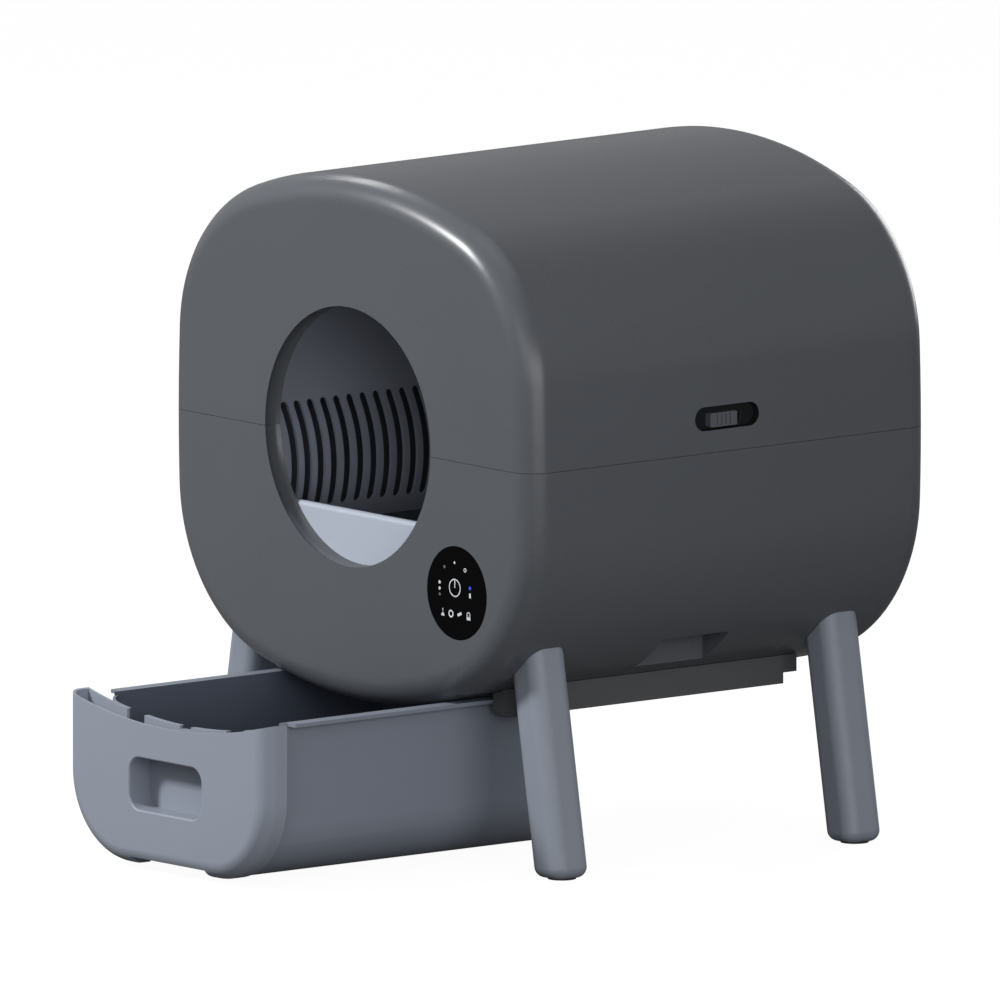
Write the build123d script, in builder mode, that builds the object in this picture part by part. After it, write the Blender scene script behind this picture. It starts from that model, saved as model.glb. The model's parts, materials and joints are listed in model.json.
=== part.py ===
"""Self-cleaning litter box: a drum in a two-part body on four legs, over a waste drawer.

X runs across the box, Y from its front to its back and Z up. The origin is on the floor,
in the middle of the box as it stands with its drawer pulled part of the way out.
"""

import os
from math import cos, pi, radians, sin, sqrt, tan

from build123d import *

os.makedirs("parts", exist_ok=True)

# ---------------------------------------------------------------- driving dimensions, in mm
# body: two moulded shells that meet at a level seam
BODY_WIDTH = 525.0
BODY_DEPTH = 475.0
SEAM_Z = 381.5
CROWN_RISE = 244.2
BELLY_DROP = 242.1
UPPER_FLANK_R = 1750.0
UPPER_SHOULDER_R = 154.0
CROWN_R = 472.0
LOWER_FLANK_R = 1750.0
LOWER_SHOULDER_R = 166.0
BELLY_R = 472.0
EDGE_ROUND = 26.0
SHELL_WALL = 3.0
SEAM_GAP = 0.4
TONGUE_GAP = 0.6
TONGUE_WALL = 2.0
TONGUE_RISE = 5.0
TONGUE_ROOT = 8.0
TONGUE_BITE = 0.5
SEAT_GAP = 0.3

# entrance, with a grooved lip turned into the body
ENTRANCE_R = 120.0
AXIS_RISE = 4.4
LIP_DEPTH = 18.0
LIP_WALL = 3.0
LIP_GROOVE = 3.0
LIP_GROOVE_SPOT = 8.0

# litter guard, a sill across the lower part of the entrance
GUARD_R = 158.0
GUARD_DROP = 72.0
GUARD_THICK = 10.0
GUARD_EDGE_R = 4.5
GUARD_POST_R = 6.0
GUARD_POST_ANGLE = 38.0
GUARD_POST_RING = 142.0

# control panel, a round lens in a stepped boss
PANEL_R = 43.2
PANEL_INSET = 104.1
PANEL_DROP = 121.1
PANEL_THICK = 2.5
PANEL_LEDGE = 4.0
PANEL_BOSS_WALL = 3.5
PANEL_BOSS_DEPTH = 6.0
PANEL_GAP = 0.25
BOARD_THICK = 1.6
BOARD_EDGE = 12.0
LAMP_RING = 26.0
LAMP_COUNT = 8
LAMP_SIZE = 3.0

# drum, turning about the entrance's axis
DRUM_SIDE_GAP = 57.5
DRUM_WALL = 3.0
DRUM_LENGTH = 365.0
DRUM_FRONT_GAP = 2.5
DRUM_MOUTH_GAP = 30.0
DRUM_RING_RIM = 6.0
TRACK_RISE = 2.0
TRACK_WIDTH = 18.0
FRONT_TRACK_INSET = 26.0
BACK_TRACK_INSET = 31.0
PORT_WIDTH = 110.0
PORT_LENGTH = 220.0
PORT_ROUND = 18.0
PORT_RIM = 3.0
DRUM_SCREW_COUNT = 6
DRUM_SCREW_LENGTH = 6.0
DISH_DEPTH = 6.0
DISH_INSET = 55.0

# sieve, a curved plate with upright slots, that parts a litter pocket from the drum
SIEVE_THICK = 3.0
SIEVE_BULGE_R = 105.0
SIEVE_BULGE_DROP = 55.0
SIEVE_FROM_WALL = 35.0
SIEVE_HOLLOW_R = 110.0
SIEVE_LOW_ANGLE = 26.6
SLOT_PITCH = 15.5
SLOT_WIDTH = 8.9
SLOT_TOP = 5.0
SLOT_BOTTOM = 93.0
FIRST_SLOT = 33.0

# drive: ring gear, pinion and gear motor
GEAR_MODULE = 4.0
RING_WALL = 6.6
PINION_TEETH = 12
GEAR_FACE = 12.0
GEAR_FROM_BACK = 14.0
TOOTH_SHARE = 0.43
ADDENDUM = 0.8
DEDENDUM = 1.1
PRESSURE_ANGLE = 20.0
MOTOR_ANGLE = 30.0
SHAFT_R = 4.0
RUNNING_GAP = 0.05
BRACKET_THICK = 3.0
BRACKET_GAP = 2.0
GEARBOX_SIZE = 46.0
GEARBOX_DEPTH = 35.0
MOTOR_R = 17.0
MOTOR_LENGTH = 54.0
MAGNET_R = 4.0
MAGNET_THICK = 2.0
MAGNET_INSET = 19.0
LUG_R = 11.0
SENSOR_WIDTH = 18.0
SENSOR_HEIGHT = 12.0
SENSOR_NOSE_R = 2.5
MOTOR_MOUNT_R = 30.0

# support rollers on steel pins
ROLLER_R = 20.0
ROLLER_WIDTH = 12.0
ROLLER_ANGLE = 35.0
ROLLER_PIN_R = 3.0
CHEEK_WALL = 3.0
CHEEK_GAP = 0.5
CHEEK_R = 9.0
CHEEK_FOOT = 34.0
ROLLER_BASE = 4.0
ROLLER_BEVEL = 1.5

# latches that hold the upper shell down, one in each flank
RECESS_LENGTH = 75.2
RECESS_HEIGHT = 22.0
RECESS_DEPTH = 9.0
RECESS_RISE = 32.0
RECESS_WALL = 2.5
RECESS_FROM_FRONT = 233.5
LATCH_LENGTH = 31.4
LATCH_HEIGHT = 13.0
LATCH_AHEAD = 3.4
LATCH_BELOW = 2.0
LATCH_SINK = 0.5
LATCH_TRAVEL = 20.0
LATCH_STEM = 12.0
LATCH_STEM_HEIGHT = 6.0
LATCH_PLATE = 2.5
LATCH_ARM_DROP = 44.0
LATCH_GAP = 0.5
LATCH_EDGE_R = 1.5
LATCH_RIB = 1.2
LATCH_RIB_PITCH = 5.0
LATCH_RIB_COUNT = 4
HOOK_THICK = 4.0
HOOK_LIFT = 2.0
KEEPER_THICK = 4.0
KEEPER_GAP = 2.0
KEEPER_SIDE_GAP = 0.8

# legs, square with round corners, leaning outwards to the floor
LEG_SIZE = 42.0
LEG_CORNER_R = 14.0
LEG_LEAN = 10.0
LEG_FOOT_INSET = 27.0
LEG_FRONT_INSET = 61.0
LEG_BACK_INSET = 69.8
LEG_TOP_RISE = 82.6
LEG_END_R = 10.0
SOCKET_WALL = 3.0
SOCKET_GAP = 0.5
LEG_BOLT_R = 3.0
LEG_BOLT_LENGTH = 34.0
HEX_SIDES = 6
PAD_R = 13.0
PAD_THICK = 3.0
PAD_PROUD = 1.0

# hand grips, pockets in the lower shell's haunches
GRIP_LENGTH = 79.0
GRIP_FROM_FRONT = 235.0
GRIP_DEPTH = 86.5
GRIP_RISE = 65.6

# waste chute through the belly
CHUTE_WIDTH = 116.0
CHUTE_LENGTH = 236.0
CHUTE_FROM_FRONT = 107.0
CHUTE_WALL = 2.5
CHUTE_FLANGE = 9.0
CHUTE_FLANGE_RISE = 10.0
CHUTE_TOP_GAP = 5.0

# drawer: a tub behind a hollow front
DRAWER_OUT = 215.0
DRAWER_FLOOR = 5.0
DRAWER_GAP = 2.7
SCOOP_R = 562.0
FASCIA_WIDTH = 288.0
FASCIA_DEPTH = 27.0
FASCIA_WALL = 3.0
FASCIA_LOW_R = 80.0
FASCIA_EDGE_R = 16.0
SKID_GAP = 108.0
SKID_RISE = 7.0
NOTCH_X = 72.0
NOTCH_WIDTH = 25.0
NOTCH_DEPTH = 14.0
CATCH_WIDTH = 16.0
CATCH_DEPTH = 3.0
HANDLE_WIDTH = 104.0
HANDLE_HEIGHT = 48.0
HANDLE_R = 14.0
HANDLE_Z = 81.5
HANDLE_WALL = 2.5
HANDLE_EDGE_R = 2.0
BIN_WIDTH = 244.0
BIN_LENGTH = 340.0
BIN_WALL = 2.5
BIN_LIFT = 2.0
BIN_LOW_R = 50.0
BIN_CORNER_R = 20.0
RIM_WIDTH = 268.0
RIM_THICK = 3.5
RIM_Z = 153.0
RIM_START = 18.0
FASCIA_SCREW_X = 92.0
FASCIA_SCREW_LOW_Z = 56.0
FASCIA_SCREW_HIGH_Z = 112.0

# rails that carry the drawer's rims
RAIL_X = 152.0
RAIL_INNER_X = 136.5
RAIL_LEDGE_X = 123.5
RAIL_WALL = 2.8
RAIL_BOTTOM_Z = 138.0
RAIL_FRONT_INSET = 60.0
RAIL_LENGTH = 329.0
RAIL_LEDGE_SETBACK = 12.0
RAIL_TAIL = 15.6
RAIL_END_R = 6.0
RAIL_LIP_GAP = 1.5
RAIL_SCREW_INSET = 41.0
RAIL_SCREW_COUNT = 3
RAIL_SCREW_RISE = 28.8
RAIL_SCREW_LENGTH = 14.0
RAIL_BOSS_R = 6.0
RAIL_TAIL_Z = 148.0

# screws
SCREW_R = 2.0
SCREW_HEAD_R = 4.0
SCREW_HEAD = 2.4
SCREW_FIT = 0.15

# electronics at the back
SOCKET_INSET = 94.5
SOCKET_RISE = 74.8
SOCKET_BARREL_R = 5.5
SOCKET_FLANGE_R = 7.5
SOCKET_FLANGE = 2.0
SOCKET_BORE_R = 3.1
SOCKET_BORE = 9.0
SOCKET_BARREL = 13.0
SOCKET_RECESS = 24.0
SOCKET_RECESS_DEPTH = 4.0
CIRCUIT_WIDTH = 90.0
CIRCUIT_HEIGHT = 60.0
CIRCUIT_X = -95.0
CIRCUIT_RISE = 120.8
CIRCUIT_POST = 6.0
CIRCUIT_POST_R = 4.0
TERMINAL_COUNT = 3
TERMINAL_PITCH = 22.5
TERMINAL_WIDTH = 15.0
TERMINAL_HEIGHT = 10.0
TERMINAL_DROP = 15.0
TRANSFORMER_WIDTH = 30.0
TRANSFORMER_HEIGHT = 20.0
TRANSFORMER_RISE = 10.0

# ---------------------------------------------------------------- places that follow
body_y = DRAWER_OUT / 2
front_y = body_y - BODY_DEPTH / 2
back_y = body_y + BODY_DEPTH / 2
half_width = BODY_WIDTH / 2
drum_r = half_width - DRUM_SIDE_GAP
belly_z = SEAM_Z - BELLY_DROP
axis_z = SEAM_Z + AXIS_RISE
drum_mouth_r = ENTRANCE_R + DRUM_MOUTH_GAP
drum_axis = Axis((0, 0, axis_z), (0, 1, 0))
lip_back_y = front_y + LIP_DEPTH
drum_front_y = lip_back_y + GUARD_THICK + DRUM_FRONT_GAP
drum_back_y = drum_front_y + DRUM_LENGTH
sides = (-1, 1)
side_names = {-1: "left", 1: "right"}


def across(y):
    """A plane across the box at y, drawn as seen from the front; extruding goes forwards."""
    return Plane.XZ.offset(-y)


def level(z):
    """A level plane at height z."""
    return Plane.XY.offset(z)


def save(part, name):
    """Name a finished piece and write it."""
    part.label = name
    export_step(part, f"parts/{name}.step")


def crossing(centre_a, reach_a, centre_b, reach_b):
    """The point at those distances from two centres, on the left of the way from a to b."""
    span = centre_b - centre_a
    along = (span.length**2 + reach_a**2 - reach_b**2) / (2 * span.length)
    out = sqrt(reach_a**2 - along**2)
    way = span.normalized()
    return centre_a + way * along + Vector(-way.Y, way.X) * out


def arc_about(centre, start, end):
    """The short arc about a centre, from start to end."""
    middle = ((start - centre).normalized() + (end - centre).normalized()).normalized()
    ThreePointArc(start, centre + middle * (start - centre).length, end)


def quarter_points(rise, flank, shoulder, crown, inset):
    """Centres and ends of the flank, shoulder and crown arcs of one quarter of the body."""
    flank_centre = Vector(half_width - flank, 0)
    crown_centre = Vector(0, rise - crown)
    centre = crossing(flank_centre, flank - shoulder, crown_centre, crown - shoulder)
    flank_end = centre + (centre - flank_centre).normalized() * (shoulder - inset)
    crown_end = centre + (centre - crown_centre).normalized() * (shoulder - inset)
    side = Vector(half_width - inset, 0)
    top = Vector(0, rise - inset)
    return flank_centre, centre, crown_centre, side, flank_end, crown_end, top


def body_outline(inset):
    """The body's section, seen from the front, inset evenly from its outer skin."""
    upper = quarter_points(CROWN_RISE, UPPER_FLANK_R, UPPER_SHOULDER_R, CROWN_R, inset)
    lower = quarter_points(BELLY_DROP, LOWER_FLANK_R, LOWER_SHOULDER_R, BELLY_R, inset)
    with BuildSketch() as outline:
        with BuildLine():
            for way, quarter in ((1, upper), (-1, lower)):
                for side in sides:
                    turned = [Vector(p.X * side, p.Y * way + SEAM_Z) for p in quarter]
                    flank_centre, centre, crown_centre, start, first, second, end = turned
                    arc_about(flank_centre, start, first)
                    arc_about(centre, first, second)
                    arc_about(crown_centre, second, end)
        make_face()
    return outline.sketch


def body_form(inset):
    """The whole body as one solid, inset evenly from its outer skin."""
    with BuildPart() as form:
        with BuildSketch(across(front_y + inset)):
            add(body_outline(inset))
        extrude(amount=-(BODY_DEPTH - 2 * inset))
        fillet(form.faces().filter_by(Axis.Y).edges(), EDGE_ROUND - inset)
    return form.part


outer_form = body_form(0)
cavity = body_form(SHELL_WALL)
cavity_seat = body_form(SHELL_WALL + SEAT_GAP)
belly_seat = body_form(-SEAT_GAP)

# ---------------------------------------------------------------- legs
leg_slope = tan(radians(LEG_LEAN))
leg_foot_x = half_width - LEG_FOOT_INSET
leg_top_z = belly_z + LEG_TOP_RISE
leg_rows = {"front": front_y + LEG_FRONT_INSET, "back": back_y - LEG_BACK_INSET}
leg_top_x = leg_foot_x - leg_slope * leg_top_z
bolt_head_z = leg_top_z + SOCKET_GAP + SOCKET_WALL


def leg_form(side, y, low, high, grow):
    """A leaning prism with the leg's section, grown all round, between two heights."""
    size = LEG_SIZE + 2 * grow
    low_x = side * (leg_foot_x - leg_slope * low)
    with BuildPart() as form:
        with BuildSketch(level(low)):
            with Locations((low_x, y)):
                RectangleRounded(size / cos(radians(LEG_LEAN)), size, LEG_CORNER_R + grow)
        extrude(amount=(high - low) / cos(radians(LEG_LEAN)), dir=(-side * leg_slope, 0, 1))
    return form.part


for row, leg_y in leg_rows.items():
    for side in sides:
        with BuildPart() as leg:
            add(leg_form(side, leg_y, PAD_PROUD, leg_top_z, 0))
            fillet(leg.faces().sort_by(Axis.Z)[0].edges(), LEG_END_R)
            with BuildSketch(level(PAD_PROUD)):
                with Locations((side * leg_foot_x, leg_y)):
                    Circle(PAD_R + SEAT_GAP)
            extrude(amount=PAD_THICK - PAD_PROUD, mode=Mode.SUBTRACT)
            with BuildSketch(level(leg_top_z)):
                with Locations((side * leg_top_x, leg_y)):
                    Circle(LEG_BOLT_R + SCREW_FIT)
            extrude(amount=-LEG_BOLT_LENGTH, mode=Mode.SUBTRACT)
        save(leg.part, f"{row}_{side_names[side]}_leg")

leg_spots = [(side * leg_foot_x, y) for y in leg_rows.values() for side in sides]
leg_top_spots = [(side * leg_top_x, y) for y in leg_rows.values() for side in sides]

with BuildPart() as foot_pads:
    with BuildSketch(level(0)):
        with Locations(*leg_spots):
            Circle(PAD_R)
    extrude(amount=PAD_THICK)
save(foot_pads.part, "foot_pads")

with BuildPart() as leg_bolts:
    with BuildSketch(level(bolt_head_z)):
        with Locations(*leg_top_spots):
            Circle(LEG_BOLT_R)
    extrude(amount=-(LEG_BOLT_LENGTH - SCREW_HEAD))
    with BuildSketch(level(bolt_head_z)):
        with Locations(*leg_top_spots):
            RegularPolygon(LEG_BOLT_R * 2, HEX_SIDES)
    extrude(amount=SCREW_HEAD * 2)
save(leg_bolts.part, "leg_bolts")

# ---------------------------------------------------------------- body shells
latch_y = front_y + RECESS_FROM_FRONT
latch_z = SEAM_Z + RECESS_RISE
panel_x = half_width - PANEL_INSET
panel_z = SEAM_Z - PANEL_DROP
grip_wall_x = half_width - GRIP_DEPTH
grip_y = front_y + GRIP_FROM_FRONT
chute_y = front_y + CHUTE_FROM_FRONT + CHUTE_LENGTH / 2
rail_front_y = front_y + RAIL_FRONT_INSET
rail_screw_x = (RAIL_X + RAIL_INNER_X) / 2
rail_screw_pitch = (RAIL_LENGTH - 2 * RAIL_SCREW_INSET) / (RAIL_SCREW_COUNT - 1)
rail_screw_spots = [
    (side * rail_screw_x, rail_front_y + RAIL_SCREW_INSET + turn * rail_screw_pitch)
    for side in sides
    for turn in range(RAIL_SCREW_COUNT)
]
circuit_z = belly_z + CIRCUIT_RISE
circuit_y = back_y - SHELL_WALL - CIRCUIT_POST
socket_x = SOCKET_INSET - half_width
socket_z = belly_z + SOCKET_RISE
guard_post_spots = [
    (side * GUARD_POST_RING * sin(radians(GUARD_POST_ANGLE)),
     axis_z - GUARD_POST_RING * cos(radians(GUARD_POST_ANGLE)))
    for side in sides
]
recess_floor_x = half_width - RECESS_DEPTH
recess_back_x = recess_floor_x - RECESS_WALL
latch_arm_x = recess_back_x - LATCH_GAP
latch_rest_y = latch_y - LATCH_AHEAD
keeper_x = latch_arm_x + KEEPER_SIDE_GAP
keeper_y = latch_rest_y + LATCH_STEM / 2 + KEEPER_GAP
hook_z = latch_z - LATCH_ARM_DROP
keeper_z = hook_z + HOOK_THICK + HOOK_LIFT
tongue_outer = SHELL_WALL + TONGUE_GAP
tongue_inner = tongue_outer + TONGUE_WALL


def seam_band(outer_inset, inner_inset):
    """A band round the body at the seam, between two insets from its outer skin."""
    with BuildSketch() as band:
        for inset, way in ((outer_inset, Mode.ADD), (inner_inset, Mode.SUBTRACT)):
            with Locations((0, body_y)):
                RectangleRounded(
                    BODY_WIDTH - 2 * inset, BODY_DEPTH - 2 * inset, EDGE_ROUND - inset, mode=way
                )
    return band.sketch


with BuildPart() as casing:
    add(outer_form)
    add(cavity, mode=Mode.SUBTRACT)
    with BuildSketch(across(front_y)):
        with Locations((0, axis_z)):
            Circle(ENTRANCE_R + LIP_WALL)
    extrude(amount=-SHELL_WALL, mode=Mode.SUBTRACT)

with BuildPart() as lip:
    with BuildSketch(Plane.YZ):
        with BuildLine():
            lip_z = axis_z + ENTRANCE_R
            lip_root_z = lip_z + LIP_WALL + LIP_GROOVE
            groove_spot = (front_y + LIP_GROOVE_SPOT, lip_z + LIP_GROOVE)
            ThreePointArc((front_y, lip_z), groove_spot, (lip_back_y, lip_z))
            Polyline(
                (lip_back_y, lip_z),
                (lip_back_y, lip_z + LIP_WALL),
                (front_y, lip_root_z),
                (front_y, lip_z),
            )
        make_face()
    revolve(axis=drum_axis)

with BuildPart() as lower_lip:
    add(lip.part)
    split(bisect_by=level(SEAM_Z), keep=Keep.BOTTOM)

with BuildPart() as sockets:
    for leg_y in leg_rows.values():
        for side in sides:
            add(leg_form(side, leg_y, belly_z, bolt_head_z, SOCKET_GAP + SOCKET_WALL))
    with BuildSketch(level(belly_z)):
        with Locations(*rail_screw_spots):
            Circle(RAIL_BOSS_R)
    extrude(amount=RAIL_SCREW_RISE)
    add(outer_form, mode=Mode.INTERSECT)

with BuildPart() as grips:
    with BuildSketch(level(belly_z)):
        for side in sides:
            with Locations((side * (half_width + grip_wall_x - SHELL_WALL) / 2, grip_y)):
                Rectangle(half_width - grip_wall_x + SHELL_WALL, GRIP_LENGTH + 2 * SHELL_WALL)
    extrude(amount=GRIP_RISE + SHELL_WALL)
    add(outer_form, mode=Mode.INTERSECT)

with BuildPart() as lower_shell:
    add(casing.part)
    split(bisect_by=level(SEAM_Z), keep=Keep.BOTTOM)
    # leg sockets, with bolt holes through their roofs
    add(sockets.part)
    for leg_y in leg_rows.values():
        for side in sides:
            add(
                leg_form(side, leg_y, PAD_PROUD, leg_top_z + SOCKET_GAP, SOCKET_GAP),
                mode=Mode.SUBTRACT,
            )
    with BuildSketch(level(bolt_head_z)):
        with Locations(*leg_top_spots):
            Circle(LEG_BOLT_R + SCREW_FIT)
    extrude(amount=-(SOCKET_WALL + SOCKET_GAP), mode=Mode.SUBTRACT)
    # hand grips
    add(grips.part)
    with BuildSketch(level(belly_z)):
        for side in sides:
            with Locations((side * (half_width + grip_wall_x) / 2, grip_y)):
                Rectangle(half_width - grip_wall_x, GRIP_LENGTH)
    extrude(amount=GRIP_RISE, mode=Mode.SUBTRACT)
    # waste chute and rail screw holes through the belly
    with BuildSketch(level(belly_z)):
        with Locations((0, chute_y)):
            Rectangle(CHUTE_WIDTH, CHUTE_LENGTH)
        with Locations(*rail_screw_spots):
            Circle(SCREW_R + SCREW_FIT)
    extrude(amount=RAIL_SCREW_RISE + SHELL_WALL, mode=Mode.SUBTRACT)
    # tongue that centres the upper shell, open at the entrance
    with BuildSketch(level(SEAM_Z - TONGUE_ROOT)):
        add(seam_band(SHELL_WALL - TONGUE_BITE, tongue_inner))
    extrude(amount=TONGUE_ROOT)
    with BuildSketch(level(SEAM_Z)):
        add(seam_band(tongue_outer, tongue_inner))
    extrude(amount=TONGUE_RISE)
    with BuildSketch(across(lip_back_y)):
        with Locations((0, axis_z)):
            Circle(ENTRANCE_R + 2 * LIP_WALL + LIP_GROOVE)
    extrude(amount=LIP_DEPTH - SHELL_WALL, mode=Mode.SUBTRACT)
    with BuildSketch(across(lip_back_y)):
        with Locations((0, axis_z)):
            Circle(ENTRANCE_R + LIP_WALL)
    extrude(amount=LIP_DEPTH, mode=Mode.SUBTRACT)
    add(lower_lip.part)
    # keepers for the latch hooks
    keeper_wall_x = half_width - SHELL_WALL + TONGUE_BITE
    with BuildSketch(level(keeper_z)):
        for side in sides:
            with Locations((side * (keeper_wall_x + keeper_x) / 2, keeper_y + LATCH_TRAVEL / 2)):
                Rectangle(keeper_wall_x - keeper_x, LATCH_TRAVEL)
    extrude(amount=KEEPER_THICK)
    # stepped boss for the control panel
    with BuildSketch(across(front_y + PANEL_BOSS_DEPTH)):
        with Locations((panel_x, panel_z)):
            Circle(PANEL_R + PANEL_BOSS_WALL)
    extrude(amount=PANEL_BOSS_DEPTH)
    with BuildSketch(across(front_y + PANEL_BOSS_DEPTH)):
        with Locations((panel_x, panel_z)):
            Circle(PANEL_R - PANEL_LEDGE)
    extrude(amount=PANEL_BOSS_DEPTH, mode=Mode.SUBTRACT)
    with BuildSketch(across(front_y)):
        with Locations((panel_x, panel_z)):
            Circle(PANEL_R + PANEL_GAP)
    extrude(amount=-PANEL_THICK, mode=Mode.SUBTRACT)
    # posts for the litter guard
    with BuildSketch(across(lip_back_y)):
        with Locations(*guard_post_spots):
            Circle(GUARD_POST_R)
    extrude(amount=LIP_DEPTH - TONGUE_BITE)
    with BuildSketch(across(lip_back_y)):
        with Locations(*guard_post_spots):
            Circle(SCREW_R + SCREW_FIT)
    extrude(amount=LIP_DEPTH - SHELL_WALL, mode=Mode.SUBTRACT)
    # posts for the main board, and a recess for the power socket
    with BuildSketch(across(back_y - TONGUE_BITE)):
        with Locations((CIRCUIT_X, circuit_z)):
            with GridLocations(CIRCUIT_WIDTH - BOARD_EDGE, CIRCUIT_HEIGHT - BOARD_EDGE, 2, 2):
                Circle(CIRCUIT_POST_R)
    extrude(amount=CIRCUIT_POST + SHELL_WALL - TONGUE_BITE)
    with BuildSketch(across(back_y)):
        with Locations((socket_x, socket_z)):
            RectangleRounded(
                SOCKET_RECESS + 2 * SHELL_WALL, SOCKET_RECESS + 2 * SHELL_WALL, 2 * SHELL_WALL
            )
    extrude(amount=SOCKET_RECESS_DEPTH + SHELL_WALL)
    with BuildSketch(across(back_y)):
        with Locations((socket_x, socket_z)):
            RectangleRounded(SOCKET_RECESS, SOCKET_RECESS, SHELL_WALL)
    extrude(amount=SOCKET_RECESS_DEPTH, mode=Mode.SUBTRACT)
    with BuildSketch(across(back_y)):
        with Locations((socket_x, socket_z)):
            Circle(SOCKET_BARREL_R + SCREW_FIT)
    extrude(amount=SOCKET_RECESS_DEPTH + SHELL_WALL, mode=Mode.SUBTRACT)
save(lower_shell.part, "lower_shell")

with BuildPart() as upper_shell:
    add(casing.part)
    add(lip.part)
    split(bisect_by=level(SEAM_Z + SEAM_GAP), keep=Keep.TOP)
    # a latch recess in each flank, with a slot for the latch's stem
    for side in sides:
        with BuildSketch(Plane.YZ.offset(side * recess_back_x)):
            with Locations((latch_y, latch_z)):
                SlotOverall(RECESS_LENGTH + 2 * RECESS_WALL, RECESS_HEIGHT + 2 * RECESS_WALL)
        extrude(amount=side * (RECESS_DEPTH + RECESS_WALL - SHELL_WALL + TONGUE_BITE))
        with BuildSketch(Plane.YZ.offset(side * recess_floor_x)):
            with Locations((latch_y, latch_z)):
                SlotOverall(RECESS_LENGTH, RECESS_HEIGHT)
        extrude(amount=side * RECESS_DEPTH, mode=Mode.SUBTRACT)
        with BuildSketch(Plane.YZ.offset(side * recess_back_x)):
            with Locations((latch_rest_y + LATCH_TRAVEL / 2, latch_z - LATCH_BELOW)):
                Rectangle(
                    LATCH_STEM + LATCH_TRAVEL + 2 * LATCH_GAP, LATCH_STEM_HEIGHT + 2 * LATCH_GAP
                )
        extrude(amount=side * RECESS_WALL, mode=Mode.SUBTRACT)
save(upper_shell.part, "upper_shell")

# ---------------------------------------------------------------- latches
for side in sides:
    with BuildPart() as latch:
        # thumb block, with four finger ribs
        block_x = recess_floor_x + LATCH_GAP
        with BuildSketch(Plane.YZ.offset(side * block_x)):
            with Locations((latch_rest_y, latch_z - LATCH_BELOW)):
                RectangleRounded(LATCH_LENGTH, LATCH_HEIGHT, LATCH_EDGE_R)
        extrude(amount=side * (RECESS_DEPTH - LATCH_GAP - LATCH_SINK))
        with BuildSketch(Plane.YZ.offset(side * (half_width - LATCH_SINK))):
            with Locations((latch_rest_y, latch_z - LATCH_BELOW)):
                with GridLocations(LATCH_RIB_PITCH, 0, LATCH_RIB_COUNT, 1):
                    Rectangle(LATCH_RIB, LATCH_HEIGHT - 2 * LATCH_EDGE_R)
        extrude(amount=-side * LATCH_RIB, mode=Mode.SUBTRACT)
        # stem through the recess's floor, inner plate, arm and hook
        with BuildSketch(Plane.YZ.offset(side * (latch_arm_x - LATCH_PLATE))):
            with Locations((latch_rest_y, latch_z - LATCH_BELOW)):
                Rectangle(LATCH_STEM, LATCH_STEM_HEIGHT)
        extrude(amount=side * (block_x - latch_arm_x + LATCH_PLATE + TONGUE_BITE))
        with BuildSketch(Plane.YZ.offset(side * latch_arm_x)):
            with Locations((latch_rest_y, latch_z - LATCH_BELOW)):
                Rectangle(LATCH_LENGTH, LATCH_HEIGHT)
            with Locations((latch_rest_y, (latch_z + hook_z) / 2)):
                Rectangle(LATCH_STEM, LATCH_ARM_DROP)
        extrude(amount=-side * LATCH_PLATE)
        with BuildSketch(Plane.YZ.offset(side * (latch_arm_x - LATCH_PLATE))):
            with Locations((latch_rest_y, hook_z + HOOK_THICK / 2)):
                Rectangle(LATCH_STEM, HOOK_THICK)
        extrude(amount=side * (half_width - tongue_inner - LATCH_GAP - latch_arm_x + LATCH_PLATE))
    save(latch.part, f"{side_names[side]}_latch")

# ---------------------------------------------------------------- litter guard
with BuildPart() as litter_guard:
    with BuildSketch(across(lip_back_y + GUARD_THICK)):
        with Locations((0, axis_z)):
            Circle(GUARD_R)
        with Locations((0, axis_z - GUARD_DROP + GUARD_R)):
            Rectangle(2 * GUARD_R, 2 * GUARD_R, mode=Mode.SUBTRACT)
    extrude(amount=GUARD_THICK)
    sill = litter_guard.faces().filter_by(Axis.Z).sort_by(Axis.Z)[-1]
    fillet(sill.edges().filter_by(Axis.X), GUARD_EDGE_R)
    with BuildSketch(across(lip_back_y + GUARD_THICK)):
        with Locations(*guard_post_spots):
            Circle(SCREW_R + SCREW_FIT)
    extrude(amount=GUARD_THICK, mode=Mode.SUBTRACT)
    with BuildSketch(across(lip_back_y + GUARD_THICK)):
        with Locations(*guard_post_spots):
            Circle(SCREW_HEAD_R + SCREW_FIT)
    extrude(amount=SCREW_HEAD, mode=Mode.SUBTRACT)
save(litter_guard.part, "litter_guard")

with BuildPart() as guard_screws:
    with BuildSketch(across(lip_back_y + GUARD_THICK)):
        with Locations(*guard_post_spots):
            Circle(SCREW_HEAD_R)
    extrude(amount=SCREW_HEAD)
    with BuildSketch(across(lip_back_y + GUARD_THICK)):
        with Locations(*guard_post_spots):
            Circle(SCREW_R)
    extrude(amount=GUARD_THICK + LIP_DEPTH / 2)
save(guard_screws.part, "guard_screws")

# ---------------------------------------------------------------- control panel
with BuildPart() as panel_lens:
    with BuildSketch(across(front_y + PANEL_THICK)):
        with Locations((panel_x, panel_z)):
            Circle(PANEL_R)
    extrude(amount=PANEL_THICK)
save(panel_lens.part, "panel_lens")

with BuildPart() as display_board:
    with BuildSketch(across(front_y + PANEL_BOSS_DEPTH + BOARD_THICK)):
        with Locations((panel_x, panel_z)):
            Circle(PANEL_R)
    extrude(amount=BOARD_THICK)
    # lamps behind the lens
    with BuildSketch(across(front_y + PANEL_BOSS_DEPTH)):
        with Locations((panel_x, panel_z)):
            with PolarLocations(LAMP_RING, LAMP_COUNT):
                Rectangle(LAMP_SIZE, LAMP_SIZE)
    extrude(amount=LAMP_SIZE / 2)
save(display_board.part, "display_board")

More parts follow.
